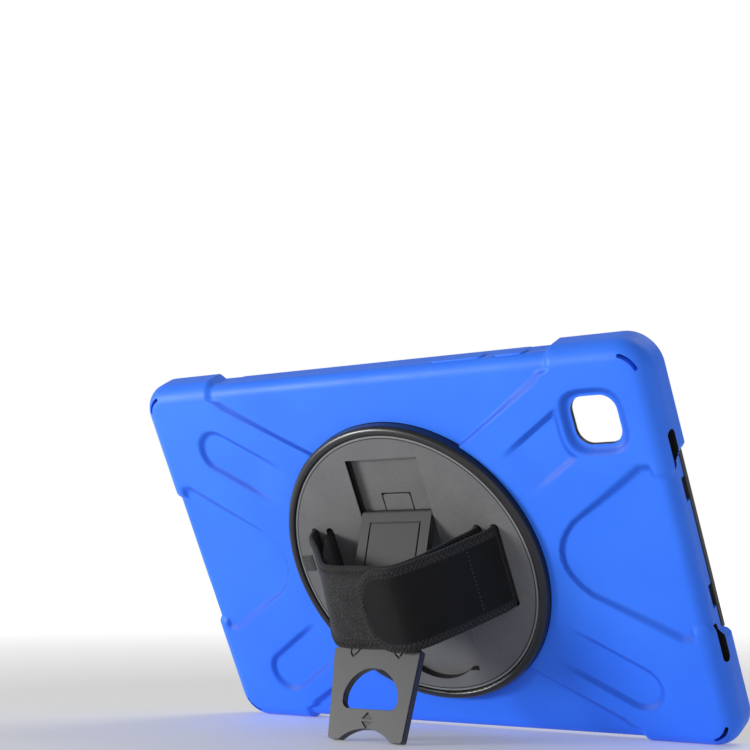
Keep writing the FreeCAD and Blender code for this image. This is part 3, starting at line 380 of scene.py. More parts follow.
finishes = {
    "front_frame": framePaint, "back_shell": shellPaint, "disc_back_cover": shellPaint,
    "silicone_skin": skinPaint, "power_button": skinPaint, "volume_rocker": skinPaint,
    "swivel_collar": collarPaint, "disc_plate": discPaint, "lock_tongue": discPaint,
    "collar_screws": steelPaint, "disc_screws": steelPaint, "stand_pin": steelPaint,
    "kickstand_leg": legPaint, "strap_base": knitPaint, "strap_sewn_end": knitPaint,
    "strap_loop_left": knitPaint, "strap_loop_right": knitPaint, "strap_flap": knitPaint,
    "strap_bindings": bindingPaint, "flap_binding": bindingPaint, "hook_patch": hookPaint,
    "flap_facing": facingPaint, "strap_tab": tabPaint}
for name, material in finishes.items():
    mesh = frame["nodes"][name].data
    mesh.materials.clear()
    mesh.materials.append(material)
print("finishes on all nodes")

# surfaces


def gridFaces(rows, columns, first, wrapRows, wrapColumns):
    # the quads of a grid of points, as corner numbers
    row = np.arange(rows if wrapRows else rows - 1)
    column = np.arange(columns if wrapColumns else columns - 1)
    i, j = np.meshgrid(row, column, indexing="ij")
    nextI, nextJ = (i + 1) % rows, (j + 1) % columns
    quad = [i * columns + j, nextI * columns + j, nextI * columns + nextJ, i * columns + nextJ]
    return np.stack(quad, -1).reshape(-1, 4) + first


def makePiece(name, grids, material, body=None, replaces=(), sharp=40, merge=2e-6):
    # each grid is (points, wrapRows, wrapColumns, capped, ribbon): points in rows and columns in the
    # case's frame, whether each way closes on itself, whether its end rows are filled, and the length and
    # width coordinates of a cloth, or None
    points, faces, places = [], [], []
    first = 0
    for grid, wrapRows, wrapColumns, capped, ribbon in grids:
        rows, columns = grid.shape[:2]
        faces += gridFaces(rows, columns, first, wrapRows, wrapColumns).tolist()
        if capped:
            ring = np.arange(columns)
            faces.append((first + ring).tolist())
            faces.append((first + (rows - 1) * columns + ring[::-1]).tolist())
        points.append(grid.reshape(-1, 3))
        places.append(np.zeros((rows * columns, 2)) if ribbon is None else ribbon.reshape(-1, 2))
        first += rows * columns
    mesh = bpy.data.meshes.new(name)
    mesh.from_pydata(toWorld(np.concatenate(points)), [], faces)
    corner = np.empty(len(mesh.loops), int)
    mesh.loops.foreach_get("vertex_index", corner)
    layer = mesh.uv_layers.new(name="ribbon")
    layer.data.foreach_set("uv", (np.concatenate(places)[corner] / 1000).ravel())
    work = bmesh.new()
    work.from_mesh(mesh)
    bmesh.ops.remove_doubles(work, verts=work.verts, dist=merge)
    bmesh.ops.recalc_face_normals(work, faces=work.faces)
    work.to_mesh(mesh)
    work.free()
    mesh.polygons.foreach_set("use_smooth", np.ones(len(mesh.polygons), bool))
    mesh.set_sharp_from_angle(angle=math.radians(sharp))
    mesh.materials.append(material)
    piece = bpy.data.objects.new(name, mesh)
    bpy.context.scene.collection.objects.link(piece)
    if body:
        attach(piece, body)
    if replaces:
        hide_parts(*replaces)
    return piece


def ramp(value, low, high):
    # 0 below low, 1 above high, and straight between
    return np.clip((value - low) / (high - low), 0, 1)


def ease(value, low, high):
    # 0 below low, 1 above high, and a smooth step between
    share = ramp(value, low, high)
    return share * share * (3 - 2 * share)


# the silicone skin

skin = {
    "front": float(skinLow[2]), "rear": float(skinHigh[2]),
    "halfX": float(skinHigh[0]), "halfY": float(skinHigh[1]),
    "shellRear": float(shellHigh[2]), "shellX": float(shellHigh[0]), "shellY": float(shellHigh[1]),
    "corner": 14.0, "rearRadius": 8.0, "proud": 2.4, "relief": 1.6, "slope": 3.1,
    "sideLeg": 89.5, "endLeg": 39.0, "endSlant": 6.5, "hole": 66.6,
    "shellCorner": 9.3, "shellRound": 4.4, "lip": 1.5, "lipRound": 1.3, "flange": 2.4,
    "mouthX": 2.4, "mouthY": 3.15, "mouthCorner": 7.0, "sideLevels": (3.9, 5.6), "edgeBlend": 2.5,
    "cameraX": 105.6, "cameraY": 58.0, "cameraHole": 20.6}
# the sunk panels, two waisted ones at the ends and two trays at the long sides, the fingers, and the dish
panels = {
    "over": 9, "corner": 14.9, "point": 16.9, "upper": 18, "lower": 16, "bow": 9.5,
    "traySide": 8, "trayShoulder": (5.5, 13.6), "trayFloor": (38.5, 50),
    "fingerAngles": (31.5, 148.5, 211.5, 328.5), "fingerHalf": 10.75, "fingerFar": 122.0,
    "fingerSlope": 2.4, "fingerDepth": 0.95, "dish": (0.8, 4.2), "dishDepth": 2.0, "dishGap": 5.4}


def perimeter(halfX, halfY, corner, sideSteps=(196, 120), cornerSteps=22):
    # a round-cornered rectangle as points round its edge; every size of it has the same number of points,
    # each on the same straight share or the same corner angle
    pieces = []
    for quarter in range(4):
        signX, signY = ((1, 1), (-1, 1), (-1, -1), (1, -1))[quarter]
        long = quarter % 2 == 1
        steps = sideSteps[0] if not long else sideSteps[1]
        share = np.linspace(-1, 1, steps, endpoint=False)
        arc = np.linspace(0, math.pi / 2, cornerSteps, endpoint=False) + quarter * math.pi / 2
        centre = np.array([(halfX - corner) * signX, (halfY - corner) * signY])
        pieces.append(centre + corner * np.stack([np.cos(arc), np.sin(arc)], -1))
        if not long:
            straight = np.stack([-share * (halfX - corner) * signX, np.full(steps, halfY * signY)], -1)
        else:
            straight = np.stack([np.full(steps, halfX * signX), -share * (halfY - corner) * signY], -1)
        pieces.append(straight)
    return np.concatenate(pieces)


def insidePolygon(points, corners):
    # how far each point lies inside a polygon; negative outside
    corners = np.asarray(corners, float)
    start, end = corners, np.roll(corners, -1, 0)
    along = end - start
    offset = points[..., None, :] - start
    share = np.clip((offset * along).sum(-1) / (along ** 2).sum(-1), 0, 1)
    away = np.linalg.norm(offset - share[..., None] * along, axis=-1).min(-1)
    crosses = (start[:, 1] > points[..., None, 1]) != (end[:, 1] > points[..., None, 1])
    rise = np.where(along[:, 1] == 0, 1e-9, along[:, 1])
    where = start[:, 0] + (points[..., None, 1] - start[:, 1]) / rise * along[:, 0]
    inside = (crosses & (points[..., None, 0] < where)).sum(-1) % 2 == 1
    return np.where(inside, away, -away)


def bowed(first, last, swell, count=9):
    # points of a gentle arc from first to last that swells to its left
    first, last = np.array(first, float), np.array(last, float)
    share = np.linspace(0, 1, count)[:, None]
    side = np.array([-(last - first)[1], (last - first)[0]])
    side /= np.linalg.norm(side)
    return first + (last - first) * share + side * 4 * swell * share * (1 - share)


def squircle(points, centreX, centreY, half, power=3.4):
    # how far outside a rounded square each point lies
    x, y = np.abs(points[..., 0] - centreX), np.abs(points[..., 1] - centreY)
    return (x ** power + y ** power) ** (1 / power) - half


def reliefDepth(points):
    # how deep the back is sunk at each point: four panels between the arms of a raised X, four fingers
    # in the arms, and a dish round the camera
    x, y = points[..., 0], points[..., 1]
    reach = np.hypot(x, y - disc["y"])
    slope = skin["slope"] * (0.3 + 0.7 * ease(reach, skin["hole"] + 4, 118))
    depth = np.zeros(x.shape)
    halfX, halfY = skin["halfX"], skin["halfY"]
    for sign in (-1, 1):
        edge, corner = (halfX + panels["over"]) * sign, (halfX - panels["corner"]) * sign
        point = (skin["hole"] + panels["point"]) * sign
        end, upper, lower = skin["endLeg"], disc["y"] + panels["upper"], disc["y"] - panels["lower"]
        waist = bowed((point, upper), (point, lower), -panels["bow"] * sign)
        outline = np.concatenate([[(edge, -end), (edge, end), (corner, end)], waist, [(corner, -end)]])
        depth = np.maximum(depth, ramp(insidePolygon(points, outline), 0, slope))
    leg, (floorX, floorY) = skin["sideLeg"], panels["trayFloor"]
    inX, inY = panels["trayShoulder"]
    for sign in (-1, 1):
        half = [(leg, (halfY + panels["over"]) * sign), (leg, (halfY - panels["traySide"]) * sign),
                (leg - inX, (halfY - inY) * sign), (floorX, floorY * sign)]
        outline = half + [(-x0, y0) for x0, y0 in half[::-1]]
        depth = np.maximum(depth, ramp(insidePolygon(points, outline), 0, slope))
    ring = squircle(points, skin["cameraX"], skin["cameraY"], skin["cameraHole"] / 2)
    half, far = panels["fingerHalf"], panels["fingerFar"]
    for number, degrees in enumerate(panels["fingerAngles"]):
        angle = math.radians(degrees)
        along = x * math.cos(angle) + (y - disc["y"]) * math.sin(angle)
        across = -x * math.sin(angle) + (y - disc["y"]) * math.cos(angle)
        capsule = half - np.hypot(np.maximum(along - (far - half), 0), across)
        if number == 0:
            # the first finger stops short of the camera's dish
            capsule = np.minimum(half - np.abs(across), ring - panels["dishGap"])
            capsule = np.minimum(capsule, far + 4 - along)
        sunk = ramp(capsule, 0, panels["fingerSlope"]) * ease(along, 71, 92)
        depth = np.maximum(depth, sunk * panels["fingerDepth"])
    dish = 1 - ease(ring, *panels["dish"])
    return skin["relief"] * depth, dish


def silicone():
    # rings from the front lip's inner edge, round the side and the rear edge, across the back along rays
    # to the disc's hole, and home again through the inside; bumper is 1 at the corners, 0 where the side
    # is a plain strip
    halfX, halfY, corner, radius = skin["halfX"], skin["halfY"], skin["corner"], skin["rearRadius"]
    rim = perimeter(halfX, halfY, corner)
    x, y = np.abs(rim[:, 0]), np.abs(rim[:, 1])
    onLong = y > halfY - corner

    def bumperAt(height):
        # the end bumpers reach further along the side near the back than near the front
        slant = skin["endSlant"] * ease(height, 4, 13)
        return np.where(onLong, ease(x, skin["sideLeg"] - 0.4, skin["sideLeg"] + 2.2),
                        ease(y, skin["endLeg"] - 0.4 - slant, skin["endLeg"] + 2.2 - slant))

    bumper = bumperAt(skin["rear"])
    atEnd = np.where(onLong, 0.0, 1 - ease(y, skin["endLeg"] - 0.5, skin["endLeg"]))
    rings = []

    def ring(inset, height, sink=0.0):
        # a ring at an inset from the bumpers' outline; sink is how far the strip lies within the bumpers
        full = perimeter(halfX - inset, halfY - inset, max(corner - inset, 0.5))
        low = perimeter(halfX - inset - sink, halfY - inset - sink, max(corner - inset - sink, 0.5))
        flat = low + (full - low) * bumperAt(height)[:, None]
        rings.append(np.column_stack([flat, np.broadcast_to(height, len(flat))]))

    front = skin["front"] + (skin["flange"] - skin["front"]) * atEnd
    mouth = perimeter(skin["shellX"] - skin["mouthX"], skin["shellY"] - skin["mouthY"], skin["mouthCorner"])
    wall = perimeter(skin["shellX"] + 0.05, skin["shellY"] + 0.05, skin["shellCorner"])
    lipEdge = mouth + (wall - mouth) * atEnd[:, None]
    rings.append(np.column_stack([lipEdge, front + 0.25]))
    rings.append(np.column_stack([lipEdge + (wall - lipEdge) * 0.06, front]))
    proud = skin["proud"]
    edge = skin["lipRound"]
    for angle in np.linspace(0, math.pi / 2, 5):
        ring(edge * (1 - math.sin(angle)), front + edge * (1 - math.cos(angle)), proud)
    for height in skin["sideLevels"]:
        ring(0, np.maximum(height, front + edge + 0.1), proud)
    relief, base = skin["relief"], skin["rear"] - radius
    for angle in np.linspace(0, math.pi / 2, 13):
        share = angle / (math.pi / 2)
        sink = proud * (1 - share)
        inset = radius * (1 - math.cos(angle))
        drop = relief * (1 - bumperAt(base + radius * math.sin(angle))) * math.sin(angle)
        ring(inset, base + radius * math.sin(angle) - drop, sink)
    backEdge = rings[-1][:, :2]
    centre = np.array([0, disc["y"]])
    ray = backEdge - centre
    reach = np.linalg.norm(ray, axis=1, keepdims=True)
    shares = np.linspace(0, 1, 76)[1:]
    back = np.array([centre + ray / reach * (reach + (skin["hole"] - reach) * share) for share in shares])
    sunk, dish = reliefDepth(back)
    near = ease(np.linalg.norm(back - backEdge[None], axis=-1), 0, skin["edgeBlend"])
    edgeDrop = relief * (1 - bumper)[None]
    depth = edgeDrop * (1 - near) + sunk * near
    depth = np.maximum(depth, dish * panels["dishDepth"])
    back = np.concatenate([back, (skin["rear"] - depth)[..., None]], -1)
    normal = np.cross(np.roll(back, -1, 1) - np.roll(back, 1, 1), np.gradient(back, axis=0))
    tilt = np.hypot(normal[..., 0], normal[..., 1]) / np.maximum(np.linalg.norm(normal, axis=-1), 1e-9)
    before = len(rings)
    rings += list(back)
    holeEdge = back[-1, :, :2]
    inner = skin["shellRear"] + 0.03
    rings.append(np.column_stack([holeEdge, np.full(len(holeEdge), inner)]))
    shellX, shellY, shellRound = skin["shellX"], skin["shellY"], skin["shellRound"]
    for share in (0.35, 0.7):
        flat = perimeter(shellX - shellRound, shellY - shellRound, skin["shellCorner"] - shellRound)
        rings.append(np.column_stack([holeEdge + (flat - holeEdge) * share, np.full(len(flat), inner)]))
    for angle in np.linspace(math.pi / 2, 0, 5):
        inset = shellRound * (1 - math.cos(angle)) - 0.05
        flat = perimeter(shellX - inset, shellY - inset, skin["shellCorner"] - inset)
        level = inner - shellRound * (1 - math.sin(angle))
        rings.append(np.column_stack([flat, np.full(len(flat), level)]))
    lipRear = skin["front"] + skin["lip"]
    behind = lipRear + (skin["flange"] + 0.35 - lipRear) * atEnd
    rings.append(np.column_stack([wall, behind]))
    rings.append(np.column_stack([lipEdge + (wall - lipEdge) * 0.02, behind]))
    # the second coordinate of the skin's map tells how steep the relief is, and the skin's finish paints
    # shade there
    steep = np.zeros((len(rings), len(rim), 2))
    steep[before:before + len(back), :, 1] = 1000 * np.clip(tilt * 2.1 - 0.1, 0, 1) * near
    return np.array(rings), steep


def boxGrid(low, high, round=0.0, axis=0):
    # a cutter's closed tube: its section is a round-cornered rectangle across an axis
    others = [number for number in range(3) if number != axis]
    centre = [(low[number] + high[number]) / 2 for number in others]
    half = [(high[number] - low[number]) / 2 for number in others]
    section = perimeter(half[0], half[1], max(round, 0.02), (1, 1), 8 if round else 2)
    rows = []
    for level in (low[axis], high[axis]):
        row = np.zeros((len(section), 3))
        row[:, others] = section + centre
        row[:, axis] = level
        rows.append(row)
    return np.array(rows)


def crackGrid(centreX, centreY, middle, low, high):
    # a curved slit with round ends, between two levels
    radius, half, span = 9.1, 0.8, math.radians(27)
    arc = np.linspace(middle - span, middle + span, 12)
    cap = np.linspace(0, math.pi, 6)[1:-1]
    outer = np.stack([np.cos(arc), np.sin(arc)], -1) * (radius + half)
    inner = np.stack([np.cos(arc[::-1]), np.sin(arc[::-1])], -1) * (radius - half)
    tips = []
    for end, sign in ((arc[-1], 1), (arc[0], -1)):
        radial = np.array([math.cos(end), math.sin(end)])
        tangent = np.array([-math.sin(end), math.cos(end)]) * sign
        bend = np.cos(cap)[:, None] * radial * sign + np.sin(cap)[:, None] * tangent
        tips.append(radial * radius + half * bend)
    loop = np.concatenate([outer, tips[0], inner, tips[1]]) + (centreX, centreY)
    return np.array([np.column_stack([loop, np.full(len(loop), level)]) for level in (low, high)])


def skinCutters():
    # everything that is cut through the skin: camera, speakers, plugs, buttons, latches, notches and slits
    front, rear, outX, outY = skin["front"], skin["rear"], skin["halfX"], skin["halfY"]
    shellX, shellY, half = skin["shellX"], skin["shellY"], skin["cameraHole"] / 2
    level, gap, rise = ports["level"], ports["gap"], ports["rise"]
    camera = np.array([skin["cameraX"], skin["cameraY"]])
    grids = [boxGrid((*(camera - half), 11), (*(camera + half), rear + 2), 6.5, axis=2)]
    for side in (-1, 1):
        for end in (-1, 1):
            y0, y1 = sorted((ports["start"] * side, ports["stop"] * side))
            x0, x1 = sorted(((shellX - 6) * end, (outX + 3) * end))
            grids.append(boxGrid((x0, y0 - gap, level - rise), (x1, y1 + gap, level + rise), ports["round"]))
        # latch notches in the long sides, and two bare stretches of lip on the right
        x0, x1 = sorted((66.7 * side, 89.5 * side))
        grids.append(boxGrid((x0, -outY - 3, front - 2), (x1, -shellY + 4, front + 1.1), axis=1))
        x0, x1 = sorted((70.7 * side, 85.5 * side))
        grids.append(boxGrid((x0, -shellY - 1.3, front + 0.3), (x1, -shellY + 1.5, 6.0), axis=1))
        x0, x1 = sorted((77.3 * side, 89.5 * side))
        grids.append(boxGrid((x0, shellY - 4, front - 2), (x1, outY + 3, front + 1.8), axis=1))
        y0, y1 = sorted((18.3 * side, 28.5 * side))
        grids.append(boxGrid((shellX - 1, y0, 1.0), (outX + 3, y1, 6.0), axis=0))
    grids.append(boxGrid((-outX - 3, -10.2, level - 3.5), (6 - shellX, 10.2, level + 3.5), 3.4))
    grids.append(boxGrid((-outX - 3, -69.8, level - 3.8), (6 - shellX, -62.2, level + 3.8), 3.75))
    for start, stop in ((64.3, 78.8), (33.0, 58.7)):  # round the power button and the volume rocker
        grids.append(boxGrid((start - 0.35, shellY - 1, 4.95), (stop + 0.35, outY + 3, 10.25), 2.6, axis=1))
    for signX in (-1, 1):
        for signY in (-1, 1):
            middle = math.atan2(signY, signX)
            centre = ((outX - 14) * signX, (outY - 14) * signY)
            grids.append(crackGrid(*centre, middle, 9.4, rear + 1))
            grids.append(crackGrid(*centre, middle, front - 1, front + 1.4))
    return [(grid, False, True, True, None) for grid in grids]


def cutFrom(piece, cutter):
    # carves one closed mesh out of another and removes the cutter
    carve = piece.modifiers.new("carve", "BOOLEAN")
    carve.object = cutter
    carve.operation = "DIFFERENCE"
    carve.solver = "EXACT"
    bpy.context.view_layer.update()
    evaluated = piece.evaluated_get(bpy.context.evaluated_depsgraph_get())
    carved = bpy.data.meshes.new_from_object(evaluated)
    piece.modifiers.clear()
    piece.data = carved
    bpy.data.objects.remove(cutter)
    carved.polygons.foreach_set("use_smooth", np.ones(len(carved.polygons), bool))
    carved.set_sharp_from_angle(angle=math.radians(38))
    carved.materials.clear()
    carved.materials.append(skinPaint)


skinRings, skinSteep = silicone()
skinPiece = makePiece("siliconeSkin", [(skinRings, True, True, False, skinSteep)], skinPaint)
cutFrom(skinPiece, makePiece("skinCutters", skinCutters(), skinPaint, sharp=30))
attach(skinPiece, "case")
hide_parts("silicone_skin")
print("skin:", len(skinPiece.data.polygons), "faces")

# the hand strap

strap = {
    "face": disc["rear"], "inner": 39.6, "outer": 48.2, "rise": float(bandHigh[2]) - disc["rear"] - 0.82,
    "half": 18.4, "thick": 0.8, "binding": 3.7, "proud": 0.26, "barLevel": 15.15, "flapLift": 2.25,
    "tipRound": 13.0, "narrower": 0.7,
    "pitch": 2.3, "stitchIn": 0.95, "stitchOut": 3.0, "flapStitchOut": 3.1, "rowAt": 42.6,
    "hookSpan": (27, 5),
    # how far the band hangs below its smooth line, at places along x, at its lower and its upper edge
    "sagPlaces": (-48.2, -42, -36, -28, -19, -8, 8, 19, 27, 33, 38, 48.2),
    "sagLow": (0, 1.0, 1.6, 1.0, 0, 0, 0, 0, 1.2, 2.2, 2.0, 0.6),
    "sagHigh": (0, 2.6, 4.6, 5.0, 4.0, 2.6, 2.2, 2.4, 3.4, 3.6, 2.6, 0.8)}


def smoothLine(points, count):
    # a natural cubic through a few points, by the chords between them
    knots = np.array(points, float)
    along = np.concatenate([[0], np.cumsum(np.linalg.norm(np.diff(knots, axis=0), axis=1))])
    gap = np.diff(along)
    size = len(knots)
    system, right = np.eye(size), np.zeros_like(knots)
    for row in range(1, size - 1):
        system[row, row - 1:row + 2] = gap[row - 1], 2 * (gap[row - 1] + gap[row]), gap[row]
        after, before = knots[row + 1] - knots[row], knots[row] - knots[row - 1]
        right[row] = 6 * (after / gap[row] - before / gap[row - 1])
    bend = np.linalg.solve(system, right)
    place = np.linspace(0, along[-1], count)
    part = np.clip(np.searchsorted(along, place) - 1, 0, size - 2)
    wide = gap[part][:, None]
    after, before = (place - along[part])[:, None], (along[part + 1] - place)[:, None]
    return ((bend[part] * before ** 3 + bend[part + 1] * after ** 3) / (6 * wide)
            + (knots[part] / wide - bend[part] * wide / 6) * before
            + (knots[part + 1] / wide - bend[part + 1] * wide / 6) * after)


class Ribbon:
    # a strip along a smooth line: s runs along it, a across it and h out of its outer face, in millimetres
    def __init__(self, points, outward=1):
        self.line = smoothLine(points, 600)
        self.s = np.concatenate([[0], np.cumsum(np.linalg.norm(np.diff(self.line, axis=0), axis=1))])
        tangent = np.gradient(self.line, self.s, axis=0)
        tangent /= np.linalg.norm(tangent, axis=1, keepdims=True)
        self.out = np.stack([-tangent[:, 1], tangent[:, 0]], -1) * outward
        self.length = float(self.s[-1])

    def at(self, s, a, h):
        # the upper edge hangs lower than the edge that rests on the leg
        s, a, h = np.broadcast_arrays(np.asarray(s, float), a, h)
        x, z = np.interp(s, self.s, self.line[:, 0]), np.interp(s, self.s, self.line[:, 1])
        share = np.clip(a / strap["half"], -1, 1) / 2 + 0.5
        low, high = (np.interp(x, strap["sagPlaces"], strap[key]) for key in ("sagLow", "sagHigh"))
        h = h - (low + (high - low) * share) * ease(z, strap["face"] + 1, strap["face"] + 14)
        outX, outZ = np.interp(s, self.s, self.out[:, 0]), np.interp(s, self.s, self.out[:, 1])
        return np.stack([x + h * outX, disc["y"] + a, z + h * outZ], -1)

    def where(self, x):
        # how far along the strip passes an x, on its upper stretch
        order = np.argsort(self.line[:, 0])
        return float(np.interp(x, self.line[order, 0], self.s[order]))


def sheetGrid(ribbon, s, half, low, high, across=29, crown=0.0, ripple=0.0):
    # a flat strip's whole surface: s along it, and its half width, low and high face at each s; its
    # section is a rounded rectangle, crowned by crown and rippled along its length by ripple
    s = np.asarray(s, float)
    half, low, high = (np.broadcast_to(value, s.shape)[:, None] for value in (half, low, high))
    share = np.linspace(-1, 1, across)
    share = np.sign(share) * (1 - (1 - np.abs(share)) ** 1.25)
    middle, thick = (low + high) / 2, (high - low) / 2
    bulge = np.sqrt(1 - np.abs(share) ** 14)
    wave = ripple * np.sin(s[:, None] * 0.55 + 2.2 * np.sin(share * 3)) * (1 - share ** 2)
    top = middle + thick * bulge + crown * (1 - share ** 2) + wave
    low = middle - thick * bulge + crown * (1 - share ** 2) * 0.5 + wave
    upper = ribbon.at(s[:, None], half * share, top)
    lower = ribbon.at(s[:, None], half * share[::-1], low[:, ::-1])
    flat = np.concatenate([np.broadcast_to(half * share, upper.shape[:2]), half * share[::-1] + 60], 1)
    lengths = np.broadcast_to(s[:, None], flat.shape)
    return np.concatenate([upper, lower], 1), np.stack([lengths, flat], -1)


def stripPiece(name, parts, material, replaces=(), body="disc"):
    # parts are (grid, ribbon coordinates); every one is a closed tube with filled ends
    grids = [(grid, False, True, True, flat) for grid, flat in parts]
    return makePiece(name, grids, material, body, replaces)


def bindingGrid(ribbon, track, inward, reach, thick, roll=0.55):
    # a tape folded over an edge: track is the edge's (s, a) at each step and inward the way to the middle;
    # its section starts inside the outer face, rolls round the edge and ends inside the inner face
    section = []
    for share in np.linspace(1, 0.12, 7):
        section.append((reach * share, thick + 0.10 * math.sin(math.pi * share)))
    for angle in np.linspace(math.pi / 2, -math.pi / 2, 9)[1:-1]:
        section.append((reach * 0.06 - roll * math.cos(angle), thick * math.sin(angle)))
    for share in np.linspace(0.12, 1, 7):
        section.append((reach * share, -thick - 0.10 * math.sin(math.pi * share)))
    for share, level in ((0.98, -0.55), (0.5, -0.5), (0.5, 0.5), (0.98, 0.55)):
        section.append((reach * share, level * thick))
    inset, height = np.array(section).T
    where = track[:, None] + inward[:, None] * inset[None, :, None]
    wobble = 1 + 0.05 * np.sin(track[:, 0] * 2.1)[:, None] * (inset > 0.5)
    grid = ribbon.at(where[..., 0], where[..., 1], height * wobble)
    girth = np.concatenate([[0], np.cumsum(np.hypot(np.diff(inset), np.diff(height)))])
    run = np.concatenate([[0], np.cumsum(np.linalg.norm(np.diff(track, axis=0), axis=1))])
    return grid, np.stack(np.broadcast_arrays(run[:, None], girth[None] + 10), -1)


def stitchGrids(ribbon, starts, ends, height, radius=0.16, sides=6):
    # short threads between pairs of (s, a) places: each rises out of the cloth, lies on it and dips back in
    share = np.linspace(0, 1, 6)
    arch = height + 0.14 * np.sign(height) - 0.5 * np.sign(height) * np.abs(2 * share - 1) ** 5
    grids = []
    for start, end in zip(starts, ends):
        flat = start + (end - start) * share[:, None]
        middle = ribbon.at(flat[:, 0], flat[:, 1], arch)
        along = np.gradient(middle, axis=0)
        along /= np.linalg.norm(along, axis=1, keepdims=True)
        side = np.cross(along, ribbon.at(flat[:, 0], flat[:, 1], arch + 1) - middle)
        side /= np.linalg.norm(side, axis=1, keepdims=True)
        up = np.cross(side, along)
        angle = np.linspace(0, 2 * math.pi, sides, endpoint=False)
        tube = (middle[:, None] + radius * (np.cos(angle)[None, :, None] * side[:, None]
                                            + np.sin(angle)[None, :, None] * up[:, None]))
        grids.append((tube, False, True, True, None))
    return grids


def zigzag(track, inward, first, last, pitch):
    # the corners of a zigzag between two insets along an edge
    run = np.concatenate([[0], np.cumsum(np.linalg.norm(np.diff(track, axis=0), axis=1))])
    count = int(run[-1] / (pitch / 2))
    place = np.linspace(pitch, run[-1] - pitch, count)
    inset = np.where(np.arange(count) % 2 == 0, first, last)
    edge = np.stack([np.interp(place, run, track[:, axis]) for axis in (0, 1)], -1)
    way = np.stack([np.interp(place, run, inward[:, axis]) for axis in (0, 1)], -1)
    way /= np.linalg.norm(way, axis=1, keepdims=True)
    return edge + way * inset[:, None]


def threadPiece(name, grids, material, body="disc"):
    return makePiece(name, grids, material, body, merge=1e-7)


face, rise, inner, outer = strap["face"], strap["rise"], strap["inner"], strap["outer"]
half, thick, binding = strap["half"], strap["thick"], strap["binding"]
mainBand = Ribbon([(-outer, face - 0.2), (-outer + 1.4, face + 0.12 * rise),
                   (-outer + 5.6, face + 0.33 * rise), (-36.4, face + 0.565 * rise),
                   (-28.6, face + 0.8 * rise), (-19.2, face + 0.978 * rise),
                   (-8.0, face + rise), (8.0, face + rise),
                   (19.0, face + 0.98 * rise), (27.2, face + 0.835 * rise),
                   (33.3, face + 0.6 * rise), (37.4, face + 0.33 * rise),
                   (inner, face + 0.1 * rise), (inner, face - 0.6)])
sewnEnd = Ribbon([(-inner, face - 0.6), (0.2 - inner, face + 0.11 * rise), (1.6 - inner, face + 0.31 * rise),
                  (-34.0, face + 0.53 * rise), (-29.2, face + 0.7 * rise), (-24.6, face + 0.8 * rise)])
lift = strap["flapLift"]
flapBand = Ribbon([(outer, face + 0.3), (outer - 1.2, face + 0.13 * rise), (outer - 4.6, face + 0.33 * rise),
                   (38.6, face + 0.565 * rise), (30.0, face + 0.86 * rise),
                   (19.9, face + 0.98 * rise + lift + 0.15),
                   (8.0, face + rise + lift + 0.15), (0.4, face + rise + lift + 0.1)], outward=-1)
tabBand = Ribbon([(-45.4, face + 9.5), (-47.6, face + 10.4), (-50.0, face + 10.7)])


def barLoop(sign):
    # the band's turn under a bar, from the inner slot to the outer one
    start, stop, low, top = sign * inner, sign * outer, strap["barLevel"], face - 0.5
    bend, part = sign * 1.9, sign * 0.5
    return Ribbon([(start, top), (start, low + 1.9), (start + part, low + 0.6), (start + bend, low),
                   ((start + stop) / 2, low), (stop - bend, low), (stop - part, low + 0.6),
                   (stop, low + 1.9), (stop, top)])


def straightEdge(ribbon, side, first, last, steps=150):
    s = np.linspace(first, last, steps)
    track = np.column_stack([s, np.full(steps, side * half)])
    return track, np.tile([0.0, -float(side)], (steps, 1))


def addBand():
    s = np.linspace(0, mainBand.length, 170)
    core = sheetGrid(mainBand, s, half - binding * 0.45, -thick, thick, crown=0.12, ripple=0.05)
    stripPiece("strapBand", [core], knitPaint, ["strap_base"])
    edges, stitches = [], []
    for side in (-1, 1):
        track, inward = straightEdge(mainBand, side, 0, mainBand.length)
        edges.append(bindingGrid(mainBand, track, inward, binding, thick + strap["proud"] * 0.6))
        corners = zigzag(track, inward, strap["stitchIn"], strap["stitchOut"], strap["pitch"])
        for facing in (1, -1):
            level = facing * (thick + strap["proud"])
            stitches += stitchGrids(mainBand, corners[:-1], corners[1:], level)
    stripPiece("strapBindings", edges, bindingPaint, ["strap_bindings"])
    threadPiece("strapBindingStitches", stitches, darkThread)


def addSewnEnd():
    # the plain end that comes up through the inner slot and is sewn behind the band
    s = np.linspace(0, sewnEnd.length, 60)
    taper = thick * (0.9 - 0.3 * ease(s, sewnEnd.length - 8, sewnEnd.length))
    end = sheetGrid(sewnEnd, s, half - strap["narrower"], -taper, taper * 0.6, crown=0.1)
    stripPiece("strapSewnEnd", [end], knitPaint, ["strap_sewn_end"])
    loops = []
    for sign in (-1, 1):
        loop = barLoop(sign)
        s = np.linspace(0, loop.length, 60)
        loops.append(sheetGrid(loop, s, half - strap["narrower"], -thick * 0.95, thick * 0.95))
    stripPiece("strapLoops", loops, knitPaint, ["strap_loop_left", "strap_loop_right"])


def flapHalf(s, inset):
    # the flap's half width, which rounds off at its free end
    length, bend = flapBand.length - inset, strap["tipRound"] - inset * 0.55
    into = np.clip(s - (length - bend), 0, bend)
    return half - inset - bend + np.sqrt(np.maximum(bend ** 2 - into ** 2, 0.0))


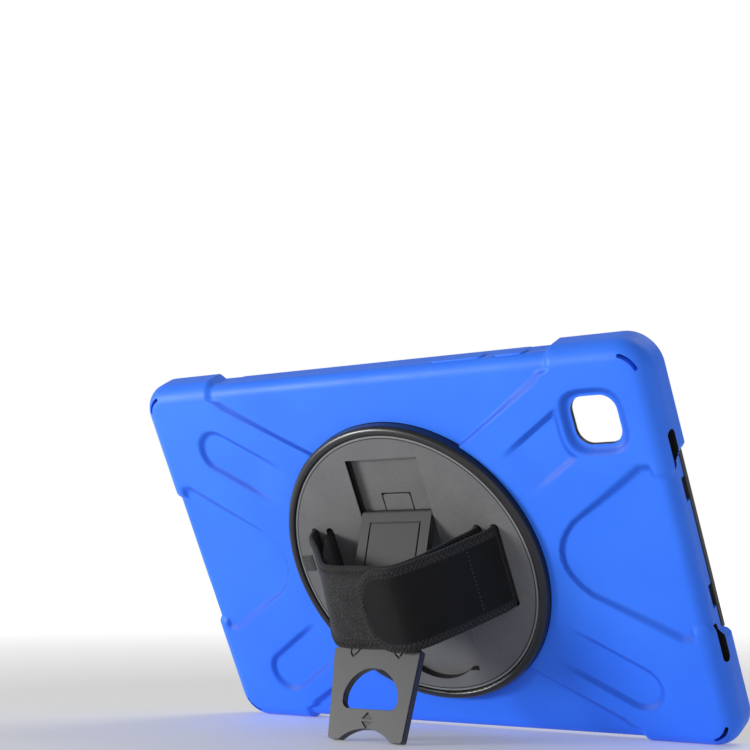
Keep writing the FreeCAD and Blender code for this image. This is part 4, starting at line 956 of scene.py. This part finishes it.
def flapTrack(steps=260):
    # the flap's edge from the slot along one side, round the free end and back along the other
    bend, length = strap["tipRound"], flapBand.length
    corner = np.linspace(0, math.pi / 2, 40)
    run = np.linspace(0, length - bend, 110, endpoint=False)
    upper = np.column_stack([run, np.full(len(run), half)])
    turned = np.column_stack([length - bend + bend * np.sin(corner), half - bend + bend * np.cos(corner)])
    tip = np.column_stack([np.full(9, length), np.linspace(half - bend, 0, 10)[1:]])
    side = np.concatenate([upper, turned, tip])
    track = np.concatenate([side, (side * (1, -1))[::-1][1:]])
    along = np.gradient(track, axis=0)
    along /= np.linalg.norm(along, axis=1, keepdims=True)
    return track, np.column_stack([along[:, 1], -along[:, 0]])


def addFlap():
    track, inward = flapTrack()
    length = flapBand.length
    reach, tip = length - binding * 0.5, 12  # steps grow closer along the last stretch, at the round tip
    s = np.sort(np.concatenate([np.linspace(0, reach - tip, 90, endpoint=False),
                                reach - tip + tip * np.sin(np.linspace(0, math.pi / 2, 30))]))
    core = sheetGrid(flapBand, s, flapHalf(s, binding * 0.5), -thick, thick * 0.9, crown=0.05)
    stripPiece("flapCore", [core], knitPaint, ["strap_flap"], "flap")
    facing = sheetGrid(flapBand, s[2:], flapHalf(s[2:], binding * 0.5) - 0.1, thick * 0.5, thick + 0.2,
                       across=41, crown=0.10, ripple=0.03)
    stripPiece("flapFacing", [facing], facingPaint, ["flap_facing"], "flap")
    rim = bindingGrid(flapBand, track, inward, binding, thick + strap["proud"])
    stripPiece("flapBinding", [rim], bindingPaint, ["flap_binding"], "flap")
    stitches = []
    corners = zigzag(track, inward, strap["stitchIn"], strap["flapStitchOut"], strap["pitch"])
    for facingSide in (1, -1):
        level = facingSide * (thick + strap["proud"] + 0.1)
        stitches += stitchGrids(flapBand, corners[:-1], corners[1:], level)
    threadPiece("flapBindingStitches", stitches, darkThread, "flap")
    row = np.linspace(half - binding - 0.8, binding + 0.8 - half, 16)
    place = flapBand.where(strap["rowAt"])
    starts = np.column_stack([np.full(15, place), row[:-1]])
    ends = starts + (row[1:] - row[:-1])[:, None] * (0, 0.42)
    threadPiece("flapRowStitches", stitchGrids(flapBand, starts, ends, thick + 0.27, 0.11), paleThread,
                "flap")
    first, last = (flapBand.where(x) for x in strap["hookSpan"])
    hook = sheetGrid(flapBand, np.linspace(first, last, 50), half - binding - 1, -thick - 0.62, -thick + 0.1)
    stripPiece("flapHookPatch", [hook], hookPaint, ["hook_patch"], "flap")


def addTab():
    tab = {"half": 3.95, "thick": 0.5, "up": 7}
    s = np.linspace(0, tabBand.length, 24)
    grid, flat = sheetGrid(tabBand, s, tab["half"], -tab["thick"], tab["thick"], ripple=0.03)
    stripPiece("strapTab", [(grid + (0, tab["up"], 0), flat)], tabPaint, ["strap_tab"])


addBand()
addSewnEnd()
addFlap()
addTab()
print("strap and flap")

# floor, light and camera

stage = {"floor": 8.0, "shade": 0.88, "glow": 0.16, "glowFrom": 0.35, "glowTo": 1.9, "backdrop": 0.32}
lights = {
    "keyLight": {"place": (-1.05, -1.1, 0.12), "aim": (0, 0, 0.07), "size": 0.45, "power": 23},
    "fillLight": {"place": (0.9, -1.2, 0.35), "aim": (0, 0, 0.07), "size": 0.9, "power": 1.5},
    "rimLight": {"place": (0.3, 0.7, 1.1), "aim": (0, 0, 0.1), "size": 0.7, "power": 4}}
# the camera in the case's frame: its place in millimetres, and its directions to the right, down and ahead
view = {"place": (400.1, 247.7, 514.3), "right": (0.7973, -0.2767, -0.5364),
        "down": (-0.0782, -0.9286, 0.3627), "ahead": (-0.5985, -0.2472, -0.7621), "lens": 74.32, "sensor": 36}


def addFloor():
    # a pale floor that glows, faintly near the case and fully far off, so that it melts into the white
    # backdrop with distance, but keeps the case's soft shadow
    half = stage["floor"]
    mesh = bpy.data.meshes.new("floor")
    corners = [(-half, -half, 0), (half, -half, 0), (half, half, 0), (-half, half, 0)]
    mesh.from_pydata(corners, [], [(0, 1, 2, 3)])
    paint = Paint("floorPaint", Roughness=0.55)
    tone = paint.noise(3.0, 2)
    away = paint.add("ShaderNodeVectorMath", {"operation": "LENGTH"}, {0: paint.place()}, out="Value")
    # painted light: the floor's glow, which rises with the distance from the case
    glow = paint.spread(away, (stage["glowFrom"], stage["glowTo"]), (stage["glow"], 1.0))
    light = paint.blendColour(glow, grey(0), grey(1))
    paint.tree.links.new(light.socket, paint.shader.inputs["Emission Color"])
    paint.shader.inputs["Emission Strength"].default_value = 1.0
    paint.finish(paint.blendColour(tone, grey(stage["shade"]), grey(stage["shade"] * 1.02)))
    mesh.materials.append(paint.material)
    floor = bpy.data.objects.new("floor", mesh)
    bpy.context.scene.collection.objects.link(floor)


def addLight(name, place, aim, size, power):
    data = bpy.data.lights.new(name, "AREA")
    data.size = size
    data.energy = power
    lamp = bpy.data.objects.new(name, data)
    place, aim = np.array(place), np.array(aim)
    back = (place - aim) / np.linalg.norm(place - aim)
    side = np.cross((0, 0, 1), back)
    side /= np.linalg.norm(side)
    matrix = np.eye(4)
    matrix[:3, 0], matrix[:3, 1], matrix[:3, 2], matrix[:3, 3] = side, np.cross(back, side), back, place
    lamp.matrix_world = Matrix(matrix)
    bpy.context.scene.collection.objects.link(lamp)


def addCamera():
    data = bpy.data.cameras.new("camera")
    data.sensor_width = view["sensor"]
    data.lens = view["lens"]
    data.clip_start = 0.01
    camera = bpy.data.objects.new("camera", data)
    matrix = np.eye(4)
    axes = view["right"], np.negative(view["down"]), np.negative(view["ahead"])
    for column, direction in enumerate(axes):
        matrix[:3, column] = turn @ direction
    matrix[:3, 3] = toWorld(view["place"])
    camera.matrix_world = Matrix(matrix)
    bpy.context.scene.collection.objects.link(camera)
    bpy.context.scene.camera = camera


def addWorld():
    # a white backdrop that lights the object only softly
    world = bpy.data.worlds.new("studio")
    world.use_nodes = True
    nodes, links = world.node_tree.nodes, world.node_tree.links
    sky = nodes["Background"]
    sky.inputs["Color"].default_value = (1, 1, 1, 1)
    seen, level = nodes.new("ShaderNodeLightPath"), nodes.new("ShaderNodeMapRange")
    level.inputs["To Min"].default_value = stage["backdrop"]
    links.new(seen.outputs["Is Camera Ray"], level.inputs["Value"])
    links.new(level.outputs["Result"], sky.inputs["Strength"])
    bpy.context.scene.world = world


addFloor()
for name, light in lights.items():
    addLight(name, **light)
addCamera()
addWorld()
bpy.context.scene.view_settings.view_transform = "Standard"
print("floor, light and camera")
